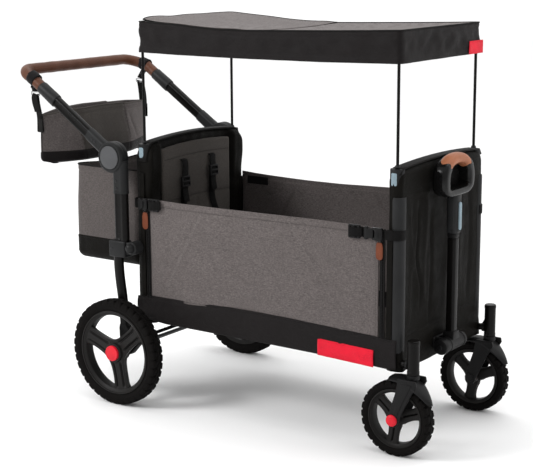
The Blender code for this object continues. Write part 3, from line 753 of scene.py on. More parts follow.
# white near the horizon, softer overhead, like a cove lit from below its top
wt = world.node_tree
tc_ = wt.nodes.new("ShaderNodeTexCoord")
sep_ = wt.nodes.new("ShaderNodeSeparateXYZ")
ramp_ = wt.nodes.new("ShaderNodeValToRGB")
wt.links.new(tc_.outputs["Generated"], sep_.inputs["Vector"])
wt.links.new(sep_.outputs["Z"], ramp_.inputs["Fac"])
side_ = wt.nodes.new("ShaderNodeValToRGB")
turn_ = wt.nodes.new("ShaderNodeMath")
turn_.operation = "MULTIPLY_ADD"
turn_.inputs[1].default_value, turn_.inputs[2].default_value = -0.55, 0.45
wt.links.new(sep_.outputs["Y"], turn_.inputs[0])
wt.links.new(turn_.outputs[0], side_.inputs["Fac"])
side_.color_ramp.elements[0].position, side_.color_ramp.elements[0].color = 0.42, (1, 1, 1, 1)
side_.color_ramp.elements[1].position, side_.color_ramp.elements[1].color = 0.62, (0.50, 0.50, 0.50, 1)
mul_ = wt.nodes.new("ShaderNodeMix")
mul_.data_type, mul_.blend_type = "RGBA", "MULTIPLY"
mul_.inputs["Factor"].default_value = 1.0
wt.links.new(ramp_.outputs["Color"], [i for i in mul_.inputs if i.name == "A" and i.type == "RGBA"][0])
wt.links.new(side_.outputs["Color"], [i for i in mul_.inputs if i.name == "B" and i.type == "RGBA"][0])
wt.links.new([o for o in mul_.outputs if o.type == "RGBA"][0], wt.nodes["Background"].inputs["Color"])
ramp_.color_ramp.elements[0].position, ramp_.color_ramp.elements[0].color = 0.10, (0.60, 0.60, 0.60, 1)
ramp_.color_ramp.elements[1].position, ramp_.color_ramp.elements[1].color = 0.50, (0.55, 0.55, 0.55, 1)
zen_ = ramp_.color_ramp.elements.new(0.74)
zen_.color = (0.84, 0.84, 0.84, 1)
wt.nodes["Background"].inputs["Strength"].default_value = 1.88


def area(name, at, target, size, power, colour=(1, 1, 1)):
    d = bpy.data.lights.new(name, "AREA")
    d.shape = "RECTANGLE"
    d.size, d.size_y = size
    d.energy = power
    d.color = colour
    o = bpy.data.objects.new(name, d)
    COL.objects.link(o)
    o.location = at
    o.rotation_euler = (Vector(target) - Vector(at)).to_track_quat("-Z", "Y").to_euler()
    return o


area("key", (-1.9, -2.7, 2.5), (0.1, 0.1, 0.45), (1.3, 1.1), 92)
area("top", (0.2, 0.5, 3.4), (0.1, 0.0, 0.6), (2.6, 2.0), 22)
area("rim", (2.6, 0.6, 1.9), (0.3, 0.0, 0.5), (0.8, 1.6), 6)

paper = Look("paper", (0.93, 0.93, 0.93), 0.9, Specular_IOR_Level=0.1)
paper.roughness(paper.remap(paper.noise(3.0), 0.3, 0.7, 0.85, 0.95))
floor = make("floor", [(-14, -14, 0), (14, -14, 0), (14, 14, 0), (-14, 14, 0)], [(0, 1, 2, 3)], paper.m, smooth=False)
floor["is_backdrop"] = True


# ================================ wheels =============================================
def tyre(name, c, R, rin, hw, blocks):
    t = R - rin
    half = [(rin, 0.70), (rin + 0.10 * t, 0.82), (rin + 0.30 * t, 0.93), (rin + 0.40 * t, 0.985), (rin + 0.46 * t, 0.965),
            (rin + 0.58 * t, 1.0), (rin + 0.74 * t, 0.985), (R - 0.0052, 0.955), (R - 0.0030, 0.915), (R - 0.0010, 0.80),
            (R - 0.0002, 0.62), (R, 0.42), (R, 0.30), (R, 0.24), (R, 0.10)]
    prof = half + [(r, -w) for r, w in half[::-1]]
    prof = np.array(prof)
    n = blocks * 10
    th = np.arange(n) * 2 * PI / n
    r = np.repeat(prof[:, 0][None], n, 0)
    w = np.repeat(prof[:, 1][None], n, 0)
    T = np.repeat(th[:, None], len(prof), 1)
    sgn = np.sign(w)
    ph = (T * blocks / (2 * PI) + 0.25 * sgn + 0.22 * np.abs(w)) % 1.0
    slot = step(0.5 - np.abs(ph - 0.5), 0.17, 0.07)
    out = step(r, R - 0.42 * t, R - 0.20 * t) * step(np.abs(w), 0.26, 0.40)
    mid = (T * blocks / (2 * PI)) % 1.0
    zig = step(np.abs(np.abs(w) - 0.28 - 0.05 * np.sin(2 * PI * mid)), 0.06, 0.02) * (r > R - 0.001)
    depth = 0.0042 * slot * out + 0.0028 * zig
    side = step(np.abs(w), 0.90, 0.97)
    w = w * (1 - 0.045 * slot * out * side)
    r = r - depth
    a = hw * w
    G = np.stack([c[0] + r * np.cos(T), c[1] + a, c[2] + r * np.sin(T)], 2)
    o = grid(name, G, M["rubber"], cu=True, cv=True)
    return sharp(o, 30)


def spoke(name, c, s, ang, r0, r1, y_in, y_out, w_mid, w_hub, w_rim, grooves, mat):
    n = 30
    q = np.linspace(0, 1, n)
    rr = r0 + (r1 - r0) * q
    half = w_mid / 2 + (w_rim - w_mid) / 2 * np.exp(-(r1 - rr) / 0.008) + (w_hub - w_mid) / 2 * np.exp(-(rr - r0 - 0.012).clip(0) / 0.012)
    m = 25
    v = np.linspace(-1, 1, m)
    rings = []
    for k in range(n):
        front = y_out - 0.0028 * np.abs(v) ** 6 + 0 * v
        fade = step(q[k], 0.16, 0.26) * step(q[k], 0.97, 0.88)
        for g in grooves:
            front = front - 0.0060 * fade * np.exp(-(((v - g) / 0.13) ** 4))
        front = front - 0.0020 * bump(q[k], 0.62, 0.35)
        b = np.linspace(1, -1, 9)
        rear = y_in + 0.003 * np.abs(b) ** 4
        x = np.concatenate([v * half[k], b * half[k] * 0.86])
        y = np.concatenate([front, rear])
        rings.append(np.stack([np.full(x.shape, rr[k]), x, y], 1))
    L = np.array(rings)
    ca, sa = math.cos(ang), math.sin(ang)
    G = np.stack([c[0] + L[..., 0] * ca - L[..., 1] * sa, c[1] + s * L[..., 2], c[2] + L[..., 0] * sa + L[..., 1] * ca], 2)
    return sharp(grid(name, G, mat, cv=True, cap_u=True), 42)


def rim(name, c, s, rin, rout, hw, face, hub_r, hub_out, hub_in, spokes, w_mid, w_hub, w_rim, grooves, bore):
    m = M["rim"]
    ring = turned(name + "_ring", [
        (rout, -hw), (rout, hw * 0.96), (rout - 0.0012, hw), (rout - 0.0030, hw * 1.0), (rout - 0.0042, hw * 0.86),
        (rin + 0.0030, hw * 0.70), (rin + 0.0008, hw * 0.60), (rin, hw * 0.42), (rin - 0.0004, 0.0), (rin, -hw * 0.6),
        (rin + 0.0015, -hw * 0.86), (rout - 0.0035, -hw), (rout, -hw)], c, "Y", m, 96, s, 32)
    parts = [ring]
    for k in range(3):
        parts.append(spoke(name + "_s", c, s, math.radians(spokes + 120 * k), bore + 0.003, rin + 0.0016, -face * 0.75, face, w_mid, w_hub, w_rim, grooves, m))
    parts.append(turned(name + "_hub", [
        (bore, hub_in), (hub_r - 0.002, hub_in), (hub_r, hub_in + 0.002), (hub_r + 0.001, 0.0), (hub_r, hub_out - 0.003), (hub_r - 0.0012, hub_out - 0.0008),
        (hub_r - 0.003, hub_out), (bore, hub_out), (bore, hub_in)], c, "Y", m, 48, s, 32))
    return join(name, parts)


for side, s in SIDES:
    c = (RW_X, s * RW_Y, RW_R)
    put(tyre(f"rear_tyre_{side}", c, RW_R, 0.1185, 0.021, 38), f"rear_wheel_{side}", f"rear_wheel_{side}_tyre")
    put(rim(f"rear_rim_{side}", c, s, 0.1050, 0.1183, 0.0185, 0.0125, 0.0275, 0.0200, -0.0230, 40 if s < 0 else 40, 0.045, 0.060, 0.062,
            (-0.52, 0.52), 0.0064), f"rear_wheel_{side}", f"rear_wheel_{side}_rim")
    cap = turned(f"rear_cap_{side}", [
        (0.0, 0.0200), (0.0205, 0.0200), (0.0215, 0.0210), (0.0215, 0.0262), (0.0208, 0.0276), (0.0194, 0.0283), (0.0178, 0.0281),
        (0.0170, 0.0274), (0.0100, 0.0281), (0.0, 0.0284)], c, "Y", M["red_plastic"], 64, s, 35)
    put(cap, f"rear_wheel_{side}", f"rear_hub_cap_{side}")

    c = (FW_X, s * FW_Y, FW_R)
    put(tyre(f"front_tyre_{side}", c, FW_R, 0.0762, 0.0195, 27), f"front_wheel_{side}", f"front_wheel_{side}_tyre")
    put(rim(f"front_rim_{side}", c, s, 0.0660, 0.0760, 0.0165, 0.0095, 0.0170, 0.0185, -0.0185, 20, 0.028, 0.038, 0.040,
            (0.0,), 0.0056), f"front_wheel_{side}", f"front_wheel_{side}_rim")


# ================================ casters ============================================
def fender(name, cy, s):
    """The fork's crown: a curved plate over the tyre that runs to a point in front."""
    n, m = 30, 13
    q = np.linspace(0, 1, n)
    th = np.radians(98 - 72 * q)
    half = 0.0292 * np.minimum(1, (np.clip((1 - q) / 0.42, 0, 1)) ** 0.55) * (1 - 0.10 * (1 - step(q, 0, 0.18)))
    half = np.maximum(half, 0.0006)
    v = np.linspace(-1, 1, m)
    top, bot = [], []
    for k in range(n):
        lift = 0.0085 + 0.0035 * bump(q[k], 0.42, 0.25)
        ro = FW_R + 0.0045 + lift - 0.0060 * np.abs(v) ** 3
        ri = FW_R + 0.0042 + 0 * v
        for r_, dst in ((ro, top), (ri, bot)):
            dst.append(np.stack([FW_X + r_ * math.cos(th[k]), cy + v * half[k], FW_R + r_ * math.sin(th[k])], 1))
    G = np.concatenate([np.array(top), np.array(bot)[:, ::-1]], 1)
    return sharp(grid(name, G, M["black_plastic"], cv=True, cap_u=True), 40)


for side, s in SIDES:
    y = s * FW_Y
    stem = turned(f"caster_stem_tube_{side}", [
        (0.0068, 0.2165), (0.0150, 0.2165), (0.0157, 0.2175), (0.0157, 0.2240), (0.0150, 0.2250), (0.0150, 0.2920), (0.0153, 0.2925), (0.0157, 0.2935), (0.0157, 0.2995),
        (0.0150, 0.3020), (0.0130, 0.3032), (0.0, 0.3034), (0.0, 0.2890), (0.0068, 0.2890), (0.0068, 0.2165)],
        (CASTER_X, y, 0), "Z", M["black_paint"], 48, 1, 30)
    arm = tube(f"arm_{side}", np.array([(FRONT_X + 0.0150, s * 0.2065, 0.238), (0.590, s * 0.2072, 0.238), (0.606, s * 0.2090, 0.239)]), 0.0090, M["black_paint"], 24)
    collar = disc(f"col_{side}", 0.0125, 0.598, 0.6045, (0, s * 0.2085, 0.2385), "X", M["black_plastic"], 32, 0.001)
    web = slab(f"web_{side}", [(0.5905, 0.232), (0.604, 0.226), (0.604, 0.262), (0.598, 0.250), (0.5905, 0.2455)], s * 0.2080 - 0.0035, s * 0.2080 + 0.0035, "XZ", M["black_paint"], 0.001)
    put(join(f"caster_stem_piece_{side}", [stem, arm, collar, web]), "front_frame", f"caster_stem_{side}")

    parts = [fender(f"fender_{side}", y, s)]
    leg = [(0.6390, 0.2075), (0.6420, 0.1960), (0.6200, 0.1560), (0.6040, 0.1220), (0.5930, 0.0960), (0.5895, 0.0870), (0.5840, 0.0800), (0.5752, 0.0775), (0.5672, 0.0800),
           (0.5615, 0.0880), (0.5605, 0.0990), (0.5640, 0.1100), (0.5740, 0.1400), (0.5830, 0.1680), (0.5880, 0.1900), (0.5900, 0.2075)]
    for t in (1, -1):
        parts.append(slab(f"leg_{side}_{t}", leg, y + t * 0.0226, y + t * 0.0288, "XZ", M["black_plastic"], 0.0016, 3))
        inner = [(0.6290, 0.1960), (0.6120, 0.1620), (0.5960, 0.1280), (0.5860, 0.1030), (0.5760, 0.1040), (0.5800, 0.1240), (0.5890, 0.1560), (0.5965, 0.1880), (0.6000, 0.1960)]
        if t == s:
            parts.append(slab(f"rib_{side}", inner, y + t * 0.0280, y + t * 0.0302, "XZ", M["black_plastic"], 0.0009, 2))
    parts.append(turned(f"boss_{side}", [(0.0062, 0.2035), (0.0150, 0.2035), (0.0165, 0.2060), (0.0160, 0.2148), (0.0145, 0.2158), (0.0062, 0.2158), (0.0062, 0.2035)],
                        (CASTER_X, y, 0), "Z", M["black_plastic"], 40, 1, 30))
    parts.append(turned(f"pin_{side}", [(0.0, 0.205), (0.0062, 0.205), (0.0062, 0.2845), (0.0050, 0.2855), (0.0, 0.2855)], (CASTER_X, y, 0), "Z", M["dark_steel"], 24))
    parts.append(disc(f"axle_{side}", 0.0050, -0.0285, 0.0285, (FW_X, y, FW_R), "Y", M["dark_steel"], 24, 0.0005))
    parts.append(turned(f"nut_{side}", [(0.0, -0.0288), (0.0125, -0.0288), (0.0130, -0.0300), (0.0120, -0.0325), (0.0, -0.0330)], (FW_X, y, FW_R), "Y", M["black_plastic"], 6, s, 25))
    parts.append(turned(f"redcap_{side}", [(0.0, 0.0286), (0.0142, 0.0286), (0.0150, 0.0294), (0.0150, 0.0318), (0.0138, 0.0342), (0.0110, 0.0362), (0.0070, 0.0374), (0.0034, 0.0379),
                                           (0.0, 0.0380)], (FW_X, y, FW_R), "Y", M["red_plastic"], 48, s, 35))
    put(join(f"caster_fork_piece_{side}", parts), f"caster_{side}", f"caster_fork_{side}")


# ================================ end frames and canopy rods =========================
def end_frame(name, x, crown):
    parts = []
    for s in (1, -1):
        parts.append(turned(f"{name}_p{s}", [
            (0.0056, 0.7225), (0.0140, 0.7225), (0.0160, 0.7218), (0.0167, 0.7200), (0.0167, 0.6620), (0.0160, 0.6565), (0.0142, 0.6550), (0.0140, 0.6540),
            (0.0140, 0.2330), (0.0132, 0.2320), (0.0, 0.2320), (0.0, 0.2880), (0.0048, 0.2880), (0.0048, 0.7190), (0.0056, 0.7225)],
            (x, s * POST_Y, 0), "Z", M["black_paint"], 40, 1, 30))
    y = np.linspace(-POST_Y, POST_Y, 41)
    arch = np.stack([0 * y + x, y, 0.694 + crown * (1 - (y / POST_Y) ** 2)], 1)
    parts.append(tube(f"{name}_arch", arch, 0.0090, M["black_paint"], 24, side=(1, 0, 0)))
    parts.append(tube(f"{name}_bar", np.array([(x, -POST_Y, 0.24), (x, 0, 0.24), (x, POST_Y, 0.24)]), 0.0080, M["black_paint"], 24, side=(1, 0, 0)))
    return join(name, parts)


put(end_frame("rear_frame_tubes", REAR_X, 0.018), "rear_frame", "rear_frame_hoop")
put(end_frame("front_frame_tubes", FRONT_X, 0.024), "front_frame", "front_frame_hoop")


def bow(name, x):
    pts = [(x, POST_Y, 0.500), (x, POST_Y, 0.700), (x, POST_Y, 1.000)]
    for i in range(7):
        q = PI / 2 * i / 6
        pts.append((x, POST_Y - 0.020 * (1 - math.cos(q)), 1.0440 - 0.020 * (1 - math.sin(q))))
    P = np.array(pts + [(x, 0, 1.0440)] + [(px, -py, pz) for px, py, pz in pts[::-1]])
    parts = [tube(name + "_rod", P, 0.0038, M["black_paint"], 20, side=(1, 0, 0))]
    rings = []
    for s in (1, -1):
        rings.append(turned(f"{name}_f{s}", [(0.0042, 0.7240), (0.0062, 0.7240), (0.0068, 0.7248), (0.0066, 0.7275), (0.0052, 0.7300), (0.0042, 0.7302), (0.0042, 0.7240)],
                            (x, s * POST_Y, 0), "Z", M["grey_plastic"], 24))
    put(join(name + "_ferrules", rings), "rear_frame" if x < 0 else "front_frame")
    return join(name, parts)


put(bow("canopy_rods_rear", REAR_X), "canopy_rear", "canopy_bow_rear")
put(bow("canopy_rods_front", FRONT_X), "canopy_front", "canopy_bow_front")


def button(name, x, s):
    """A tall release button with a scooped, ribbed thumb face."""
    n, m = 37, 11
    z = np.linspace(0.6802, 0.7148, n)
    q = (z - z.mean()) / (0.0346 / 2)
    half = 0.0074 * np.sqrt(np.clip(1 - np.clip((np.abs(q) - 0.72) / 0.28, 0, 1) ** 2, 0.02, 1))
    face = 0.2190 + 0.0006 * (np.abs(np.sin(q * PI * 4.5)) < 0.55) * (np.abs(q) < 0.72) - 0.0008 * (1 - q ** 2) * 0.4
    v = np.linspace(-1, 1, m)
    rings = []
    for k in range(n):
        f = face[k] - 0.0016 * np.abs(v) ** 4 - 0.0018 * step(abs(q[k]), 0.86, 1.0)
        X = np.concatenate([x + v * half[k], x + v[::-1] * half[k]])
        Y = np.concatenate([f, np.full(m, 0.2138)])
        rings.append(np.stack([X, s * Y, np.full(2 * m, z[k])], 1))
    return sharp(grid(name, np.array(rings), M["button_blue"], cv=True, cap_u=True), 30)


for end, x in (("rear", REAR_X), ("front", FRONT_X)):
    for side, s in SIDES:
        b = f"canopy_button_{end}_{side}"
        put(button(f"release_{end}_{side}", x, s), b, b)
        # the grey socket sleeve that frames the button
        sleeve = turned(f"sl_{end}_{side}", [(0.0168, 0.6540), (0.0176, 0.6548), (0.0180, 0.6580), (0.0180, 0.7190), (0.0174, 0.7215), (0.0168, 0.7222), (0.0168, 0.6540)],
                        (x, s * POST_Y, 0), "Z", M["grey_paint"], 40, 1, 30)
        put(sleeve, f"{end}_frame")

# ================================ rear legs and hinge housings =======================
def screw(name, at, s, r=0.0032):
    c = turned(name, [(0.0, -0.0004), (r, -0.0004), (r, 0.0006), (r * 0.86, 0.0012), (r * 0.5, 0.0013), (r * 0.46, 0.0003), (0.0, 0.0003)], at, "Y", M["dark_steel"], 24, s, 30)
    return c


def oval_tube(name, a, b, wide, thick, mat, groove=0.0, n=3, scale=None):
    """A flat-oval extrusion in the XZ plane with a shallow groove along each flat side."""
    a, b = np.array(a, float), np.array(b, float)
    P = a + (b - a) * np.linspace(0, 1, n)[:, None]
    base = stadium(wide, thick, 9)
    dense = []
    for i in range(len(base)):
        p, q = base[i], base[(i + 1) % len(base)]
        k = max(int(math.dist(p, q) / 0.0022), 1)
        for j in range(k):
            dense.append(p + (q - p) * j / k)
    prof = np.array(dense)
    if groove:
        g = np.exp(-((np.abs(prof[:, 0]) / (wide * 0.21)) ** 6))
        prof[:, 1] -= np.sign(prof[:, 1]) * groove * g
    d = (b - a) / np.linalg.norm(b - a)
    side_dir = np.cross((0, 1, 0), d)
    return sharp(sweep(name, P, prof, mat, side_dir, scale=scale), 32)


for side, s in SIDES:
    y = s * HUB_Y
    parts = [oval_tube(f"up_{side}", (UPRIGHT_X, y, 0.430), (UPRIGHT_X, y, 0.5868), 0.044, 0.025, M["black_paint"], 0.0014)]
    lower = spline([(-0.2820, y, 0.462), (-0.2900, y, 0.436), (-0.2955, y, 0.405), (-0.2952, y, 0.372), (-0.2915, y, 0.335), (-0.2865, y, 0.300), (-0.2825, y, 0.262),
                    (-0.2795, y, 0.222), (-0.2775, y, 0.165)], 60)
    parts.append(sweep(f"low_{side}", lower, stadium(0.0290, 0.0235, 8), M["black_paint"], (1, 0, 0)))
    # clamp bracket with its ball end
    parts.append(rbox(f"cl_{side}", (-0.3180, y - 0.0165, 0.4085), (-0.2600, y + 0.0165, 0.4550), 0.0045, M["grey_paint"], 3))
    parts.append(rbox(f"cl2_{side}", (-0.2690, y - 0.0110, 0.4180), (-0.2440, y + 0.0110, 0.4530), 0.0050, M["grey_paint"], 3))
    parts.append(disc(f"clp_{side}", 0.0185, 0.2240, 0.2600, (-0.2430, 0, 0.4366), "Y", M["grey_paint"], 48, 0.0030, s))
    parts.append(turned(f"ball_{side}", [(0.0, 0.2590), (0.0140, 0.2590), (0.0138, 0.2635), (0.0118, 0.2680), (0.0085, 0.2712), (0.0045, 0.2728), (0.0, 0.2732)],
                        (-0.2445, 0, 0.4375), "Y", M["grey_paint"], 40, s, 40))
    parts.append(screw(f"cs_{side}", (-0.3080, y + s * 0.0165, 0.4320), s, 0.0030))
    # axle block
    out = [(-0.2905, 0.1420), (-0.2830, 0.1330), (-0.2540, 0.1330), (-0.2260, 0.1640), (-0.2235, 0.1780), (-0.2290, 0.1890), (-0.2450, 0.1930), (-0.2600, 0.2050),
           (-0.2680, 0.2180), (-0.2900, 0.2180), (-0.2925, 0.2060)]
    parts.append(slab(f"blk_{side}", out, y - 0.0118, y + 0.0118, "XZ", M["black_plastic"], 0.0022, 3))
    parts.append(disc(f"bos_{side}", 0.0125, 0.2380, 0.2640, (RW_X, 0, RW_R), "Y", M["black_plastic"], 40, 0.0012, s))
    put(join(f"rear_leg_piece_{side}", parts), "rear_frame", f"rear_leg_{side}")

    # hinge housing: stepped drum, lower sleeve, screws
    drum = turned(f"dr_{side}", [
        (0.0326, 0.0132), (0.0326, 0.0166), (0.0336, 0.0178), (0.0362, 0.0180), (0.0392, 0.0176), (0.0400, 0.0166), (0.0412, 0.0160), (0.0424, 0.0146), (0.0430, 0.0128),
        (0.0430, 0.0040), (0.0424, 0.0014), (0.0090, 0.0014), (0.0090, 0.0090), (0.0, 0.0090), (0.0, 0.0132), (0.0326, 0.0132)],
        (HUB_X, y, HUB_Z), "Y", M["grey_paint"], 80, s, 28)
    low = oval_tube(f"ls_{side}", (UPRIGHT_X, y, 0.5872), (UPRIGHT_X, y, 0.6780), 0.0465, 0.0305, M["grey_paint"], 0.0010, 8,
                    scale=np.array([(1, 1), (0.985, 0.985), (0.985, 0.985), (0.985, 0.985), (0.99, 0.99), (1.0, 1.0), (1.01, 1.0), (1.02, 1.0)]))
    lip = oval_tube(f"lp_{side}", (UPRIGHT_X, y, 0.5872), (UPRIGHT_X, y, 0.5905), 0.0475, 0.0315, M["grey_paint"], 0.0, 2)
    pin = disc(f"pn_{side}", 0.0078, -0.0132, 0.0060, (HUB_X, y, HUB_Z), "Y", M["dark_steel"], 32, 0.0008, s)
    screws = [screw(f"sc{k}_{side}", (UPRIGHT_X - 0.0060, y + s * 0.0143, z), s) for k, z in enumerate((0.6215, 0.6020))]
    put(join(f"hinge_housing_piece_{side}", [drum, low, lip, pin] + screws), "rear_frame", f"hinge_housing_{side}")
    cap = turned(f"hinge_disc_{side}", [(0.0, 0.0182), (0.0312, 0.0182), (0.0318, 0.0185), (0.0319, 0.0190), (0.0312, 0.0198), (0.0298, 0.0201), (0.0150, 0.0203), (0.0, 0.0204)],
                 (HUB_X, y, HUB_Z), "Y", M["disc_grey"], 80, s, 30)
    put(cap, f"hinge_button_{side}", f"hinge_button_{side}")

put(disc("rear_axle_rod", 0.0060, -0.3185, 0.3185, (RW_X, 0, RW_R), "Y", M["dark_steel"], 32, 0.0012), "rear_frame", "rear_axle")
bar = tube("bar", np.array([(-0.2375, -0.2470, 0.178), (-0.2375, 0, 0.178), (-0.2375, 0.2470, 0.178)]), 0.0050, M["black_paint"], 20, side=(1, 0, 0))
pedal = slab("pedal", [(-0.2405, 0.1380), (-0.2405, 0.1620), (-0.2650, 0.1690), (-0.2920, 0.1680), (-0.2985, 0.1600), (-0.2985, 0.1400), (-0.2920, 0.1320), (-0.2650, 0.1310)],
             0.1702, 0.1762, "XY", M["black_plastic"], 0.0018, 3)
ridges = [rbox(f"rd{k}", (-0.2940 + 0.0062 * k, 0.1370, 0.1755), (-0.2915 + 0.0062 * k, 0.1630, 0.1774), 0.0006, M["black_plastic"], 2) for k in range(6)]
put(join("foot_brake", [bar, pedal] + ridges), "brake", "brake_bar")


# ================================ push handle ========================================
def along(d, y, lift=0.0):
    return np.array((HUB_X + AX * d - math.sin(ARM) * 0 + lift * math.sin(ARM), y, HUB_Z + AZ * d + lift * math.cos(ARM)))


for side, s in SIDES:
    y = s * HUB_Y
    parts = [oval_tube(f"am_{side}", along(0.060, y), along(0.2520, y), 0.0335, 0.0245, M["black_paint"], 0.0016)]
    parts.append(oval_tube(f"as_{side}", along(0.036, y), along(0.1050, y), 0.0385, 0.0290, M["grey_paint"], 0.0010, 6,
                           scale=np.array([(1.05, 1.0), (1.02, 1.0), (1.0, 1.0), (1.0, 1.0), (0.99, 0.99), (0.965, 0.96)])))
    parts.append(turned(f"hb_{side}", [
        (0.0086, -0.0140), (0.0400, -0.0140), (0.0418, -0.0132), (0.0426, -0.0116), (0.0426, -0.0002), (0.0420, 0.0006), (0.0086, 0.0006), (0.0086, -0.0140)],
        (HUB_X, y, HUB_Z), "Y", M["grey_paint"], 80, s, 28))
    for k, d in enumerate((0.0690, 0.0800)):
        p = along(d, y + s * 0.0136)
        parts.append(screw(f"as{k}_{side}", tuple(p), s))
    A, B = along(0.106, y), along(0.232, y)
    # ferrule
    Pf = A + (along(0.3155, y) - A) * np.linspace(0, 1, 2)[:, None]
    f0 = [along(d, y) for d in (0.2480, 0.2490, 0.2530, 0.2600, 0.2660, 0.2900, 0.3120, 0.3150)]
    fs = [(0.0175, 0.0145), (0.0190, 0.0160), (0.0193, 0.0163), (0.0193, 0.0165), (0.0190, 0.0172), (0.0180, 0.0176), (0.0178, 0.0177), (0.0168, 0.0168)]
    d = np.array((AX, 0, AZ))
    parts.append(sharp(sweep(f"fr_{side}", f0, circle(1.0, 40), M["grey_paint"], np.cross((0, 1, 0), d), scale=np.array(fs)), 30))
    put(join(f"handle_arm_piece_{side}", parts), "push_handle", f"handle_arm_{side}")


def grip_path():
    half = [(HUB_X + AX * d, HUB_Y, HUB_Z + AZ * d) for d in (0.3150, 0.3350, 0.3550)]
    c, (sx, _, sz) = 0.052, half[-1]
    for i in range(1, 13):
        q = PI / 2 * i / 12
        half.append((sx + (GRIP_X - sx) * math.sin(q), HUB_Y - c * (1 - math.cos(q)), sz + (GRIP_Z - sz) * math.sin(q)))
    other = [(x, -y, z) for x, y, z in half[::-1]]
    mid = [(GRIP_X, yy, GRIP_Z) for yy in np.linspace(half[-1][1], other[0][1], 12)[1:-1]]
    return np.array(half + mid + other)


gp = spline(grip_path(), 260)
gr = np.full(len(gp), 0.0158)
gr[0] = gr[-1] = 0.0150
gr += 0.00025 * waves(gp, 0.05, 3)
grip = tube("push_grip_leather", gp, gr, M["leather"], 40, side=(0.3, 0.0, 1.0))
G = co_of(grip).reshape(len(gp), 40, 3)
T = tangents(gp)
outer = np.array((-0.42, 0.0, -0.91))
seam_n = np.broadcast_to(outer, gp.shape).copy()
seam_n -= (seam_n * T).sum(1, keepdims=True) * T
seam_n /= np.linalg.norm(seam_n, axis=1, keepdims=True)
across = np.cross(T, seam_n)
# a pressed seam along the underside, and small gathers on the inside of the two bends
rel = G - gp[:, None]
cosn = (rel * seam_n[:, None]).sum(2) / np.linalg.norm(rel, axis=2)
ang = np.arccos(np.clip(cosn, -1, 1))
rel *= (1 - 0.055 * np.exp(-((ang / 0.10) ** 2)))[..., None]
turnness = np.linalg.norm(np.gradient(T, axis=0), axis=1)
turnness = np.minimum(turnness / max(turnness.max(), 1e-9) * 1.6, 1)
idx = np.arange(len(gp))
inner_side = np.clip((rel @ np.array((0.75, 0, -0.3))) / 0.016, 0, 1)
rel *= (1 - 0.035 * turnness[:, None] * inner_side * (0.5 + 0.5 * np.sin(idx * 1.9)[:, None]))[..., None]
set_co(grip, (gp[:, None] + rel).reshape(-1, 3))
st = [stitches(f"gs{k}", gp[4:-4] + seam_n[4:-4] * 0.0150 + across[4:-4] * k * 0.0034, M["thread_brown"], seam_n[4:-4], 0.0060, 0.0042, 0.00055) for k in (1, -1)]
put(join("push_grip_piece", [grip] + st), "push_handle", "push_grip")


# ================================ canopy =============================================
TOPX = [-0.2425, -0.2151, -0.1633, -0.0922, -0.0292, 0.0423, 0.0997, 0.1931, 0.3275, 0.3715, 0.4848, 0.5500, 0.5695]
TOPZ = [1.0528, 1.0516, 1.0500, 1.0464, 1.0417, 1.0388, 1.0390, 1.0412, 1.0448, 1.0459, 1.0495, 1.0520, 1.0528]


def canopy_top(x, y):
    z = np.interp(x, TOPX, TOPZ)
    for d in (0.012, 0.024):
        z = 0.5 * z + 0.25 * (np.interp(x - d, TOPX, TOPZ) + np.interp(x + d, TOPX, TOPZ))
    mid = np.clip(1 - (y / 0.2095) ** 2, 0, 1)
    span = np.clip((x + 0.2335) / 0.794, 0, 1)
    return z - 0.0050 * mid * np.sin(PI * span)


def canopy_low(x):
    return np.interp(x, [-0.2425, -0.0974, 0.0988, 0.3427, 0.5695], [0.9712, 0.9690, 0.9680, 0.9693, 0.9740])


